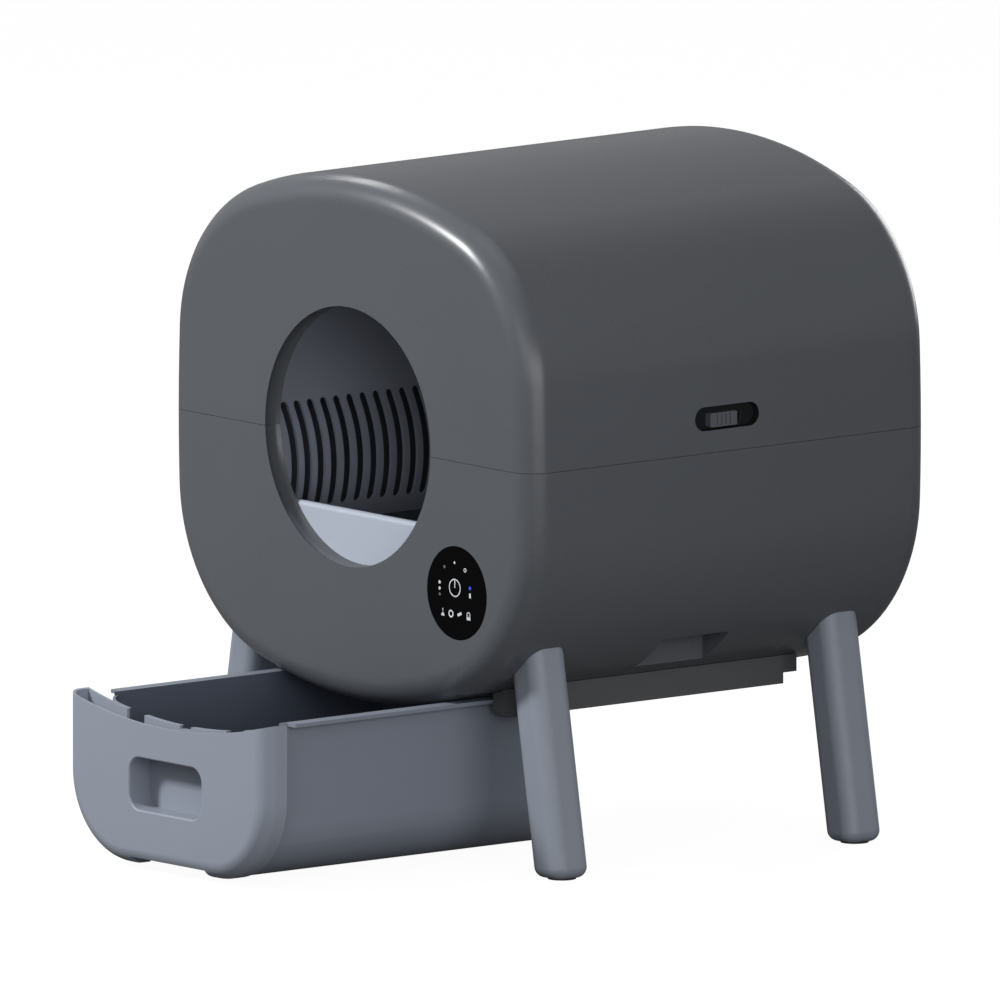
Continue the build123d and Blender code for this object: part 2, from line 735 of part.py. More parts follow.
with BuildPart() as main_board:
    with BuildSketch(across(circuit_y)):
        with Locations((CIRCUIT_X, circuit_z)):
            Rectangle(CIRCUIT_WIDTH, CIRCUIT_HEIGHT)
    extrude(amount=BOARD_THICK)
    # terminal blocks along the lower edge and a transformer above them
    with BuildSketch(across(circuit_y - BOARD_THICK)):
        with Locations((CIRCUIT_X, circuit_z - TERMINAL_DROP)):
            with GridLocations(TERMINAL_PITCH, 0, TERMINAL_COUNT, 1):
                Rectangle(TERMINAL_WIDTH, TERMINAL_HEIGHT)
        with Locations((CIRCUIT_X, circuit_z + TRANSFORMER_RISE)):
            Rectangle(TRANSFORMER_WIDTH, TRANSFORMER_HEIGHT)
    extrude(amount=CIRCUIT_POST)
save(main_board.part, "main_board")

socket_y = back_y - SOCKET_RECESS_DEPTH
with BuildPart() as power_socket:
    with BuildSketch(across(socket_y)):
        with Locations((socket_x, socket_z)):
            Circle(SOCKET_FLANGE_R)
    extrude(amount=-SOCKET_FLANGE)
    with BuildSketch(across(socket_y)):
        with Locations((socket_x, socket_z)):
            Circle(SOCKET_BARREL_R)
    extrude(amount=SOCKET_BARREL)
    with BuildSketch(across(socket_y + SOCKET_FLANGE)):
        with Locations((socket_x, socket_z)):
            Circle(SOCKET_BORE_R)
    extrude(amount=SOCKET_BORE, mode=Mode.SUBTRACT)
save(power_socket.part, "power_socket")

# ---------------------------------------------------------------- drum
front_track_y = drum_front_y + FRONT_TRACK_INSET
back_track_y = drum_back_y - BACK_TRACK_INSET
port_y = (front_track_y + back_track_y) / 2
ring_y = drum_back_y - GEAR_FROM_BACK
track_r = drum_r + TRACK_RISE

drum_bore = drum_r - DRUM_WALL - SEAT_GAP
drum_screw_y = drum_front_y + DRUM_RING_RIM
drum_screw_angles = [180 / DRUM_SCREW_COUNT * (2 * turn + 1) for turn in range(DRUM_SCREW_COUNT)]


def spoke(angle, y, reach):
    """A plane facing outwards, at a reach from the drum's axis; the angle runs from its top."""
    way = Vector(sin(radians(angle)), 0, cos(radians(angle)))
    return Plane(origin=Vector(0, y, axis_z) + way * reach, z_dir=way)


with BuildPart() as port_frame:
    with BuildSketch(across(drum_back_y)):
        with Locations((0, axis_z)):
            Circle(track_r)
    extrude(amount=DRUM_LENGTH)
    with BuildSketch(level(axis_z)):
        with Locations((0, port_y)):
            RectangleRounded(
                PORT_WIDTH + 2 * PORT_RIM, PORT_LENGTH + 2 * PORT_RIM, PORT_ROUND + PORT_RIM
            )
    extrude(amount=track_r, mode=Mode.INTERSECT)

with BuildPart() as drum_shell:
    with BuildSketch(across(drum_back_y)):
        with Locations((0, axis_z)):
            Circle(drum_r)
    extrude(amount=DRUM_LENGTH)
    for track_y in (front_track_y, back_track_y):
        with BuildSketch(across(track_y + TRACK_WIDTH / 2)):
            with Locations((0, axis_z)):
                Circle(track_r)
        extrude(amount=TRACK_WIDTH)
    # frame round the waste port, then the bore, the port and the end's screw holes
    add(port_frame.part)
    with BuildSketch(across(drum_back_y)):
        with Locations((0, axis_z)):
            Circle(drum_r - DRUM_WALL)
    extrude(amount=DRUM_LENGTH, mode=Mode.SUBTRACT)
    with BuildSketch(level(axis_z)):
        with Locations((0, port_y)):
            RectangleRounded(PORT_WIDTH, PORT_LENGTH, PORT_ROUND)
    extrude(amount=track_r, mode=Mode.SUBTRACT)
    for angle in drum_screw_angles:
        with BuildSketch(spoke(angle, drum_screw_y, drum_r)):
            Circle(SCREW_R + SCREW_FIT)
        extrude(amount=-DRUM_SCREW_LENGTH, mode=Mode.SUBTRACT)
save(drum_shell.part, "drum_shell")

with BuildPart() as drum_front:
    # annular end with a rolled rim round its mouth
    with BuildSketch(Plane.YZ):
        with Locations((drum_front_y, axis_z + drum_mouth_r)):
            Rectangle(DRUM_WALL, drum_bore - drum_mouth_r, align=(Align.MIN, Align.MIN))
            Rectangle(DRUM_RING_RIM, DRUM_WALL, align=(Align.MIN, Align.MIN))
        with Locations((drum_front_y, axis_z + drum_bore)):
            Rectangle(2 * DRUM_RING_RIM, DRUM_WALL, align=(Align.MIN, Align.MAX))
    revolve(axis=drum_axis)
    for angle in drum_screw_angles:
        with BuildSketch(spoke(angle, drum_screw_y, drum_r)):
            Circle(SCREW_R + SCREW_FIT)
        extrude(amount=-(DRUM_SCREW_LENGTH + DRUM_WALL), mode=Mode.SUBTRACT)
save(drum_front.part, "drum_front")

with BuildPart() as drum_screws:
    for angle in drum_screw_angles:
        with BuildSketch(spoke(angle, drum_screw_y, drum_r)):
            Circle(SCREW_HEAD_R)
        extrude(amount=SCREW_HEAD)
        with BuildSketch(spoke(angle, drum_screw_y, drum_r)):
            Circle(SCREW_R)
        extrude(amount=-DRUM_SCREW_LENGTH)
save(drum_screws.part, "drum_screws")

drive_way = Vector(cos(radians(MOTOR_ANGLE)), 0, -sin(radians(MOTOR_ANGLE)))
magnet_spot = Vector(0, drum_back_y, axis_z) + drive_way * (drum_r - MAGNET_INSET)

with BuildPart() as drum_back:
    # dished end, with a socket for the magnet
    with BuildSketch(Plane.YZ):
        with BuildLine():
            rim_z = axis_z + drum_bore
            dish_z = axis_z + drum_r - DISH_INSET
            Polyline(
                (drum_back_y - DISH_DEPTH, axis_z),
                (drum_back_y - DISH_DEPTH, dish_z),
                (drum_back_y, dish_z + DISH_DEPTH),
                (drum_back_y, rim_z),
                (drum_back_y - 2 * DRUM_WALL, rim_z),
                (drum_back_y - 2 * DRUM_WALL, rim_z - DRUM_WALL),
                (drum_back_y - DRUM_WALL, rim_z - DRUM_WALL),
                (drum_back_y - DRUM_WALL, dish_z + DISH_DEPTH + DRUM_WALL / 2),
                (drum_back_y - DISH_DEPTH - DRUM_WALL, dish_z + DRUM_WALL / 2),
                (drum_back_y - DISH_DEPTH - DRUM_WALL, axis_z),
                close=True,
            )
        make_face()
    revolve(axis=drum_axis)
    with BuildSketch(across(drum_back_y)):
        with Locations((magnet_spot.X, magnet_spot.Z)):
            Circle(MAGNET_R + SCREW_FIT)
    extrude(amount=MAGNET_THICK, mode=Mode.SUBTRACT)
save(drum_back.part, "drum_back")

with BuildPart() as position_magnet:
    with BuildSketch(across(drum_back_y)):
        with Locations((magnet_spot.X, magnet_spot.Z)):
            Circle(MAGNET_R)
    extrude(amount=MAGNET_THICK)
save(position_magnet.part, "position_magnet")

# ---------------------------------------------------------------- sieve
drum_centre = Vector(0, 0)
bulge_back_x = drum_r - SIEVE_FROM_WALL + sqrt(SIEVE_BULGE_R**2 - SIEVE_BULGE_DROP**2)
bulge_centre = Vector(-bulge_back_x, -SIEVE_BULGE_DROP)
hollow_back_r = SIEVE_HOLLOW_R + SIEVE_THICK
bend_reach = SIEVE_BULGE_R + SIEVE_HOLLOW_R
hollow_centre = crossing(bulge_centre, bend_reach, drum_centre, drum_bore - hollow_back_r)
bend_way = (hollow_centre - bulge_centre).normalized()
top_way = hollow_centre.normalized()
low_way = Vector(sin(radians(SIEVE_LOW_ANGLE)), -cos(radians(SIEVE_LOW_ANGLE)))
sieve_front_y = drum_front_y + DRUM_WALL + SEAT_GAP
sieve_back_y = drum_back_y - DRUM_WALL - SEAT_GAP
slot_count = int((DRUM_LENGTH - 2 * FIRST_SLOT) / SLOT_PITCH) + 1
slot_length = SLOT_TOP + SLOT_BOTTOM
front_step = 2 * DRUM_RING_RIM


def above_axis(point):
    """A point of the drum's section, given from its axis, as X and Z in the box."""
    return Vector(point.X, point.Y + axis_z)


with BuildPart() as sieve:
    with BuildSketch(across(sieve_back_y)):
        with BuildLine():
            ends = []
            for bulge_reach in (SIEVE_BULGE_R, SIEVE_BULGE_R - SIEVE_THICK):
                bend = above_axis(bulge_centre + bend_way * bulge_reach)
                top = above_axis(hollow_centre + top_way * (bend_reach - bulge_reach))
                low = above_axis(bulge_centre + low_way * bulge_reach)
                arc_about(above_axis(hollow_centre), top, bend)
                arc_about(above_axis(bulge_centre), bend, low)
                ends.append((top, low))
            for front_end, back_end in zip(*ends):
                Line(front_end, back_end)
        make_face()
        with Locations((0, axis_z)):
            Circle(drum_bore, mode=Mode.INTERSECT)
    extrude(amount=sieve_back_y - sieve_front_y)
    # upright slots with round ends, one beside the other
    with BuildSketch(Plane.YZ.offset(-drum_r)):
        for slot in range(slot_count):
            slot_y = drum_front_y + FIRST_SLOT + slot * SLOT_PITCH
            with Locations((slot_y, axis_z + (SLOT_TOP - SLOT_BOTTOM) / 2)):
                SlotOverall(slot_length, SLOT_WIDTH, rotation=90)
    extrude(amount=drum_r, mode=Mode.SUBTRACT)
    # steps that clear the rims of the drum's two ends
    for step_y, step in ((sieve_back_y, 2 * DRUM_WALL), (sieve_front_y + front_step, front_step)):
        with BuildSketch(across(step_y)):
            with Locations((0, axis_z)):
                Circle(drum_r)
                Circle(drum_bore - DRUM_WALL - SEAT_GAP, mode=Mode.SUBTRACT)
        extrude(amount=step, mode=Mode.SUBTRACT)
save(sieve.part, "sieve")

# ---------------------------------------------------------------- drive
ring_teeth = round(2 * (drum_r + RING_WALL) / GEAR_MODULE + 2 * DEDENDUM)
ring_pitch_r = GEAR_MODULE * ring_teeth / 2
pinion_pitch_r = GEAR_MODULE * PINION_TEETH / 2
pinion_spot = drive_way * (ring_pitch_r + pinion_pitch_r) + Vector(0, 0, axis_z)
bracket_y = drum_back_y + BRACKET_GAP
gearbox_y = bracket_y + BRACKET_THICK


def toothed_disc(teeth, tooth_angle):
    """A gear's outline about the origin, with the middle of a tooth at an angle."""
    pitch_r = GEAR_MODULE * teeth / 2
    half_pitch_tooth = pi * GEAR_MODULE * TOOTH_SHARE / 2
    slope = tan(radians(PRESSURE_ANGLE))
    with BuildSketch() as outline:
        with BuildLine():
            corners = []
            for tooth in range(teeth):
                middle = radians(tooth_angle + 360 / teeth * tooth)
                for way, rise in ((-1, -DEDENDUM), (-1, ADDENDUM), (1, ADDENDUM), (1, -DEDENDUM)):
                    reach = pitch_r + rise * GEAR_MODULE
                    turn = middle + way * (half_pitch_tooth - rise * GEAR_MODULE * slope) / reach
                    corners.append((reach * cos(turn), reach * sin(turn)))
            Polyline(*corners, close=True)
        make_face()
    return outline.sketch


with BuildPart() as drum_gear:
    with BuildSketch(across(ring_y + GEAR_FACE)):
        with Locations((0, axis_z)):
            add(toothed_disc(ring_teeth, -MOTOR_ANGLE))
            Circle(drum_r + SEAT_GAP, mode=Mode.SUBTRACT)
    extrude(amount=GEAR_FACE)
save(drum_gear.part, "drum_gear")

with BuildPart() as drive_pinion:
    with BuildSketch(across(ring_y + GEAR_FACE)):
        with Locations((pinion_spot.X, pinion_spot.Z)):
            add(toothed_disc(PINION_TEETH, 180 - MOTOR_ANGLE + 180 / PINION_TEETH))
            Circle(SHAFT_R + RUNNING_GAP, mode=Mode.SUBTRACT)
    extrude(amount=GEAR_FACE)
save(drive_pinion.part, "drive_pinion")

with BuildPart() as motor_shaft:
    with BuildSketch(across(gearbox_y + GEARBOX_DEPTH / 2)):
        with Locations((pinion_spot.X, pinion_spot.Z)):
            Circle(SHAFT_R)
    extrude(amount=gearbox_y + GEARBOX_DEPTH / 2 - ring_y)
save(motor_shaft.part, "motor_shaft")

with BuildPart() as motor_bracket:
    with BuildSketch(across(gearbox_y)):
        with BuildLine():
            CenterArc((pinion_spot.X, pinion_spot.Z), MOTOR_MOUNT_R, 0, 360)
            CenterArc((magnet_spot.X, magnet_spot.Z), LUG_R, 0, 360)
        make_hull()
        with Locations((pinion_spot.X, pinion_spot.Z)):
            Rectangle(half_width, 2 * MOTOR_MOUNT_R, align=(Align.MIN, Align.CENTER))
            Circle(SHAFT_R * 2, mode=Mode.SUBTRACT)
        with Locations((magnet_spot.X, magnet_spot.Z)):
            Circle(SENSOR_NOSE_R + SCREW_FIT, mode=Mode.SUBTRACT)
    extrude(amount=BRACKET_THICK)
    add(cavity_seat, mode=Mode.INTERSECT)
save(motor_bracket.part, "motor_bracket")

with BuildPart() as gear_motor:
    with BuildSketch(across(gearbox_y + GEARBOX_DEPTH)):
        with Locations((pinion_spot.X, pinion_spot.Z)):
            RectangleRounded(GEARBOX_SIZE, GEARBOX_SIZE, SHAFT_R)
    extrude(amount=GEARBOX_DEPTH)
    with BuildSketch(level(pinion_spot.Z)):
        with Locations((pinion_spot.X, gearbox_y + GEARBOX_DEPTH / 2)):
            Circle(MOTOR_R)
    extrude(amount=GEARBOX_SIZE / 2 + MOTOR_LENGTH)
    with BuildSketch(across(gearbox_y + GEARBOX_DEPTH / 2)):
        with Locations((pinion_spot.X, pinion_spot.Z)):
            Circle(SHAFT_R + RUNNING_GAP)
    extrude(amount=GEARBOX_DEPTH, mode=Mode.SUBTRACT)
save(gear_motor.part, "gear_motor")

with BuildPart() as position_sensor:
    with BuildSketch(across(gearbox_y + BOARD_THICK)):
        with Locations((magnet_spot.X, magnet_spot.Z)):
            Rectangle(SENSOR_WIDTH, SENSOR_HEIGHT)
    extrude(amount=BOARD_THICK)
    with BuildSketch(across(gearbox_y)):
        with Locations((magnet_spot.X, magnet_spot.Z)):
            Circle(SENSOR_NOSE_R)
    extrude(amount=BRACKET_THICK)
save(position_sensor.part, "position_sensor")

# ---------------------------------------------------------------- rollers
roller_reach = track_r + SEAT_GAP + ROLLER_R
roller_x = roller_reach * sin(radians(ROLLER_ANGLE))
roller_z = axis_z - roller_reach * cos(radians(ROLLER_ANGLE))
fork_length = ROLLER_WIDTH + 2 * (CHEEK_GAP + CHEEK_WALL)
track_rows = {"front": front_track_y, "back": back_track_y}

for row, track_y in track_rows.items():
    for side in sides:
        with BuildPart() as roller:
            with BuildSketch(across(track_y + ROLLER_WIDTH / 2)):
                with Locations((side * roller_x, roller_z)):
                    Circle(ROLLER_R)
            extrude(amount=ROLLER_WIDTH)
            rims = roller.edges().filter_by(GeomType.CIRCLE)
            chamfer(rims, ROLLER_BEVEL)
            with BuildSketch(across(track_y + ROLLER_WIDTH / 2)):
                with Locations((side * roller_x, roller_z)):
                    Circle(ROLLER_PIN_R + RUNNING_GAP)
            extrude(amount=ROLLER_WIDTH, mode=Mode.SUBTRACT)
        save(roller.part, f"{row}_{side_names[side]}_roller")

with BuildPart() as roller_pins:
    for track_y in track_rows.values():
        with BuildSketch(across(track_y + fork_length / 2)):
            with Locations((-roller_x, roller_z), (roller_x, roller_z)):
                Circle(ROLLER_PIN_R)
        extrude(amount=fork_length)
save(roller_pins.part, "roller_pins")

with BuildPart() as roller_brackets:
    for track_y in track_rows.values():
        for side in sides:
            with BuildSketch(across(track_y + fork_length / 2)):
                with BuildLine():
                    CenterArc((side * roller_x, roller_z), CHEEK_R, 0, 360)
                    Line(
                        (side * roller_x - CHEEK_FOOT / 2, belly_z),
                        (side * roller_x + CHEEK_FOOT / 2, belly_z),
                    )
                make_hull()
            extrude(amount=fork_length)
        # the gap that the roller turns in
        with BuildSketch(across(track_y + ROLLER_WIDTH / 2 + CHEEK_GAP)):
            with Locations((-roller_x, roller_z), (roller_x, roller_z)):
                Circle(ROLLER_R + ROLLER_BASE)
        extrude(amount=ROLLER_WIDTH + 2 * CHEEK_GAP, mode=Mode.SUBTRACT)
        with BuildSketch(across(track_y + fork_length / 2)):
            with Locations((-roller_x, roller_z), (roller_x, roller_z)):
                Circle(ROLLER_PIN_R + RUNNING_GAP)
        extrude(amount=fork_length, mode=Mode.SUBTRACT)
    add(cavity_seat, mode=Mode.INTERSECT)
save(roller_brackets.part, "roller_brackets")

# ---------------------------------------------------------------- waste chute
chute_top_z = axis_z - drum_r - CHUTE_TOP_GAP
collar_width = CHUTE_WIDTH - 2 * SEAT_GAP
collar_length = CHUTE_LENGTH - 2 * SEAT_GAP
with BuildPart() as chute_flange:
    with BuildSketch(level(belly_z)):
        with Locations((0, chute_y)):
            Rectangle(collar_width + 2 * CHUTE_FLANGE, collar_length + 2 * CHUTE_FLANGE)
    extrude(amount=CHUTE_FLANGE_RISE)
    add(cavity_seat, mode=Mode.INTERSECT)

with BuildPart() as waste_chute:
    with BuildSketch(level(belly_z)):
        with Locations((0, chute_y)):
            Rectangle(collar_width, collar_length)
    extrude(amount=chute_top_z - belly_z)
    add(outer_form, mode=Mode.INTERSECT)
    add(chute_flange.part)
    with BuildSketch(level(belly_z)):
        with Locations((0, chute_y)):
            Rectangle(collar_width - 2 * CHUTE_WALL, collar_length - 2 * CHUTE_WALL)
    extrude(amount=chute_top_z - belly_z, mode=Mode.SUBTRACT)
save(waste_chute.part, "waste_chute")

# ---------------------------------------------------------------- rails
rail_back_y = rail_front_y + RAIL_LENGTH
rail_screw_z = belly_z + RAIL_SCREW_RISE
ledge_top_z = RIM_Z - RIM_THICK - SEAT_GAP
for side in sides:
    with BuildPart() as rail:
        # box with a ledge under the drawer's rim and a lip over it
        with BuildSketch(across(rail_back_y)):
            with Locations((side * (RAIL_X + RAIL_INNER_X) / 2, RAIL_BOTTOM_Z)):
                Rectangle(
                    RAIL_X - RAIL_INNER_X, rail_screw_z - RAIL_BOTTOM_Z, align=(Align.CENTER, Align.MIN)
                )
        extrude(amount=RAIL_LENGTH)
        with BuildSketch(across(rail_back_y)):
            with Locations((side * (RAIL_INNER_X + RAIL_LEDGE_X) / 2, ledge_top_z)):
                Rectangle(
                    RAIL_INNER_X - RAIL_LEDGE_X, RAIL_WALL, align=(Align.CENTER, Align.MAX)
                )
            with Locations((side * (RAIL_INNER_X + RAIL_LEDGE_X) / 2, RIM_Z + RAIL_LIP_GAP)):
                Rectangle(
                    RAIL_INNER_X - RAIL_LEDGE_X, RAIL_SCREW_RISE, align=(Align.CENTER, Align.MIN)
                )
        extrude(amount=RAIL_LENGTH - RAIL_LEDGE_SETBACK)
        # tail behind the box
        with BuildSketch(across(rail_back_y + RAIL_TAIL)):
            with Locations((side * (RAIL_X + RAIL_INNER_X) / 2, RAIL_TAIL_Z)):
                Rectangle(
                    RAIL_X - RAIL_INNER_X, rail_screw_z - RAIL_TAIL_Z, align=(Align.CENTER, Align.MIN)
                )
        extrude(amount=RAIL_TAIL)
        low_front = rail.edges().filter_by(Axis.X).group_by(Axis.Y)[0].sort_by(Axis.Z)[0]
        fillet(low_front, RAIL_END_R)
        add(belly_seat, mode=Mode.SUBTRACT)
        # core, open at the back
        with BuildSketch(across(rail_back_y + RAIL_TAIL)):
            with Locations((side * (RAIL_X + RAIL_INNER_X) / 2, RAIL_TAIL_Z + RAIL_WALL)):
                Rectangle(
                    RAIL_X - RAIL_INNER_X - 2 * RAIL_WALL,
                    rail_screw_z - RAIL_SCREW_LENGTH - RAIL_TAIL_Z,
                    align=(Align.CENTER, Align.MIN),
                )
        extrude(amount=RAIL_LENGTH + RAIL_TAIL - RAIL_END_R, mode=Mode.SUBTRACT)
        with BuildSketch(level(rail_screw_z)):
            with Locations(*[spot for spot in rail_screw_spots if spot[0] * side > 0]):
                Circle(SCREW_R + SCREW_FIT)
        extrude(amount=-RAIL_SCREW_LENGTH, mode=Mode.SUBTRACT)
    save(rail.part, f"{side_names[side]}_rail")

with BuildPart() as rail_screws:
    with BuildSketch(level(rail_screw_z)):
        with Locations(*rail_screw_spots):
            Circle(SCREW_HEAD_R)
    extrude(amount=SCREW_HEAD)
    with BuildSketch(level(rail_screw_z)):
        with Locations(*rail_screw_spots):
            Circle(SCREW_R)
    extrude(amount=-RAIL_SCREW_LENGTH)
save(rail_screws.part, "rail_screws")

# ---------------------------------------------------------------- drawer
fascia_front_y = front_y - DRAWER_OUT
fascia_back_y = fascia_front_y + FASCIA_DEPTH
bin_back_y = fascia_back_y + BIN_LENGTH
scoop_z = belly_z - DRAWER_GAP + SCOOP_R
bin_floor_z = DRAWER_FLOOR + BIN_LIFT
bin_scoop_width = BIN_WIDTH - 2 * BIN_WALL
notch_z = scoop_z - sqrt(SCOOP_R**2 - NOTCH_X**2) - NOTCH_DEPTH
catch_z = scoop_z - SCOOP_R - CATCH_DEPTH
fascia_screw_spots = [
    (side * FASCIA_SCREW_X, z) for side in sides for z in (FASCIA_SCREW_LOW_Z, FASCIA_SCREW_HIGH_Z)
]


def wall_notches(y):
    """The notches in the top of the two walls where the tub meets the drawer's front."""
    with BuildSketch(across(y)) as cut:
        with Locations((-NOTCH_X, notch_z), (NOTCH_X, notch_z)):
            Rectangle(NOTCH_WIDTH, RIM_Z, align=(Align.CENTER, Align.MIN))
        with Locations((0, catch_z)):
            Rectangle(CATCH_WIDTH, RIM_Z, align=(Align.CENTER, Align.MIN))
    return cut.sketch


def bin_form(inset):
    """The tub's form, inset evenly from its outer skin, with its top left open above the rim."""
    with BuildPart() as plan:
        with BuildSketch(level(bin_floor_z + inset)):
            with Locations((0, (fascia_back_y + bin_back_y) / 2)):
                RectangleRounded(
                    BIN_WIDTH - 2 * inset, BIN_LENGTH - 2 * inset, BIN_CORNER_R - inset
                )
        extrude(amount=RIM_Z)
    with BuildPart() as form:
        with BuildSketch(across(bin_back_y)):
            with Locations((0, bin_floor_z + inset)):
                RectangleRounded(
                    BIN_WIDTH - 2 * inset, 2 * RIM_Z, BIN_LOW_R - inset, align=(Align.CENTER, Align.MIN)
                )
        extrude(amount=BIN_LENGTH)
        add(plan.part, mode=Mode.INTERSECT)
    return form.part


with BuildPart() as drawer_bin:
    add(bin_form(0))
    split(bisect_by=level(RIM_Z), keep=Keep.BOTTOM)
    # rims that slide on the rails
    with BuildSketch(level(RIM_Z)):
        with Locations((0, bin_back_y)):
            Rectangle(RIM_WIDTH, BIN_LENGTH - RIM_START, align=(Align.CENTER, Align.MAX))
        with Locations((0, bin_back_y)):
            Rectangle(
                bin_scoop_width, BIN_LENGTH - RIM_START, align=(Align.CENTER, Align.MAX), mode=Mode.SUBTRACT
            )
    extrude(amount=-RIM_THICK)
    add(bin_form(BIN_WALL), mode=Mode.SUBTRACT)
    # end walls lowered to clear the belly
    with BuildSketch(across(bin_back_y)):
        with Locations((0, scoop_z)):
            Circle(SCOOP_R)
        with Locations((0, RIM_Z)):
            Rectangle(bin_scoop_width, RIM_Z, mode=Mode.INTERSECT)
    extrude(amount=BIN_LENGTH, mode=Mode.SUBTRACT)
    extrude(wall_notches(fascia_back_y + BIN_WALL), amount=BIN_WALL, mode=Mode.SUBTRACT)
    with BuildSketch(across(fascia_back_y + BIN_WALL)):
        with Locations(*fascia_screw_spots):
            Circle(SCREW_R + SCREW_FIT)
    extrude(amount=BIN_WALL, mode=Mode.SUBTRACT)
save(drawer_bin.part, "drawer_bin")


def fascia_form(inset):
    """The drawer's front as a block, inset evenly from its skin, running on above its top."""
    with BuildPart() as form:
        with BuildSketch(across(fascia_back_y - inset)):
            with Locations((0, DRAWER_FLOOR + inset)):
                RectangleRounded(
                    FASCIA_WIDTH - 2 * inset, 2 * RIM_Z, FASCIA_LOW_R - inset, align=(Align.CENTER, Align.MIN)
                )
        extrude(amount=FASCIA_DEPTH - 2 * inset)
        fillet(form.faces().sort_by(Axis.Y)[0].edges(), FASCIA_EDGE_R - inset)
    return form.part


with BuildPart() as fascia_hollow:
    add(fascia_form(FASCIA_WALL))
    with BuildSketch(across(fascia_back_y)):
        with Locations((0, DRAWER_FLOOR)):
            Rectangle(SKID_GAP + 2 * FASCIA_WALL, 2 * (SKID_RISE + FASCIA_WALL))
    extrude(amount=FASCIA_DEPTH, mode=Mode.SUBTRACT)

with BuildPart() as drawer_fascia:
    add(fascia_form(0))
    # gap between its two skids, then the hollow behind the front skin
    with BuildSketch(across(fascia_back_y)):
        with Locations((0, DRAWER_FLOOR)):
            Rectangle(SKID_GAP, 2 * SKID_RISE)
    extrude(amount=FASCIA_DEPTH, mode=Mode.SUBTRACT)
    add(fascia_hollow.part, mode=Mode.SUBTRACT)
    # handle pocket, as deep as the rear wall
    with BuildSketch(across(fascia_back_y)):
        with Locations((0, HANDLE_Z)):
            RectangleRounded(
                HANDLE_WIDTH + 2 * HANDLE_WALL, HANDLE_HEIGHT + 2 * HANDLE_WALL, HANDLE_R + HANDLE_WALL
            )
    extrude(amount=FASCIA_DEPTH - TONGUE_BITE)
    with BuildSketch(across(fascia_front_y)):
        with Locations((0, HANDLE_Z)):
            RectangleRounded(HANDLE_WIDTH, HANDLE_HEIGHT, HANDLE_R)
    extrude(amount=-(FASCIA_DEPTH - FASCIA_WALL), mode=Mode.SUBTRACT)
    pocket_mouth = drawer_fascia.faces().sort_by(Axis.Y)[0].inner_wires().edges()
    fillet(pocket_mouth, HANDLE_EDGE_R)
    # scooped top, notches and screw holes
    with BuildSketch(across(fascia_back_y)):
        with Locations((0, scoop_z)):
            Circle(SCOOP_R)
    extrude(amount=FASCIA_DEPTH, mode=Mode.SUBTRACT)
    extrude(wall_notches(fascia_back_y), amount=FASCIA_WALL, mode=Mode.SUBTRACT)
    with BuildSketch(across(fascia_back_y)):
        with Locations(*fascia_screw_spots):
            Circle(SCREW_R + SCREW_FIT)
    extrude(amount=FASCIA_WALL, mode=Mode.SUBTRACT)
save(drawer_fascia.part, "drawer_fascia")

with BuildPart() as fascia_screws:
    with BuildSketch(across(fascia_back_y + BIN_WALL)):
        with Locations(*fascia_screw_spots):
            Circle(SCREW_HEAD_R)
    extrude(amount=-SCREW_HEAD)
    with BuildSketch(across(fascia_back_y + BIN_WALL)):
        with Locations(*fascia_screw_spots):
            Circle(SCREW_R)
    extrude(amount=BIN_WALL + 2 * FASCIA_WALL)
save(fascia_screws.part, "fascia_screws")
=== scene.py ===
"""A self-cleaning litter box: a slotted drum in a two-part body on legs, over a waste drawer.

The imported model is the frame. The pieces that show are modelled or finished here around it.
X runs to the box's right seen from its front, Y to its back and Z up, all in metres.
"""

import json
from math import cos, radians, sin

import bpy
from bpy.props import (
    FloatProperty,
    FloatVectorProperty,
    PointerProperty,
)
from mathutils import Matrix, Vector


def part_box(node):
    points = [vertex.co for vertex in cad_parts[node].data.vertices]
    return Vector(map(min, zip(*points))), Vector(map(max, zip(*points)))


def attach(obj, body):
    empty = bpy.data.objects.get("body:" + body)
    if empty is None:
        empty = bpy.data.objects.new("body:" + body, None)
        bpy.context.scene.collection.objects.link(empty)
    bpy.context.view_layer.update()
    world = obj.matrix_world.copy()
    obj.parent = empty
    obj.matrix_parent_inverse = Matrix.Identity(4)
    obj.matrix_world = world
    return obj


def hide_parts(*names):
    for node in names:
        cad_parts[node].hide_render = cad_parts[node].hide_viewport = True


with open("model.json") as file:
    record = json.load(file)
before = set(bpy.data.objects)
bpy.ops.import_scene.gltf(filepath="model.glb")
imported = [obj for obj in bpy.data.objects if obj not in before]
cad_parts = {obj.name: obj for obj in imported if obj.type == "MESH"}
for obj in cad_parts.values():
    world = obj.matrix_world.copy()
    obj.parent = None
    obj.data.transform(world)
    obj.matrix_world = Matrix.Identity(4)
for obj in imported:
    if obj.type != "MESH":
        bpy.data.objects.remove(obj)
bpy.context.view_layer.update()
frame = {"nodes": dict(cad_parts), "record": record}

bl_info = {
    "name": "Drawer Litter Box",
    "version": (1, 0, 0),
    "blender": (4, 5, 0),
    "location": "View3D > Sidebar > Litter Box",
    "description": "Dresses a self-cleaning litter box with a waste drawer",
    "category": "Object",
}

MM = 0.001

# merging the solids' loose triangles
MERGE_GAP = 0.001 * MM
FLAT_ANGLE = radians(0.3)

# shading, in degrees: the shells' tangent arcs are smooth, and only their true edges are rounded
SMOOTH_ANGLE = 35.0
SHELL_SMOOTH_ANGLE = 42.0
SHELL_EDGE_ANGLE = 60.0

# latch recesses, where shade is painted: their depth under the flank, from and to, and their
# reach round the latch
RECESS_SKIN = 1.2 * MM
RECESS_SUNK = 9.5 * MM
RECESS_REACH = 44.0 * MM
RECESS_RISE = 22.0 * MM
FLOOR_FACING = 0.9
WALL_FACING = 0.5

# printed marks on the panel: their thickness, and the radius that a bar starts from
MARK_FILM = 0.08 * MM
BAR_START = 0.5 * MM
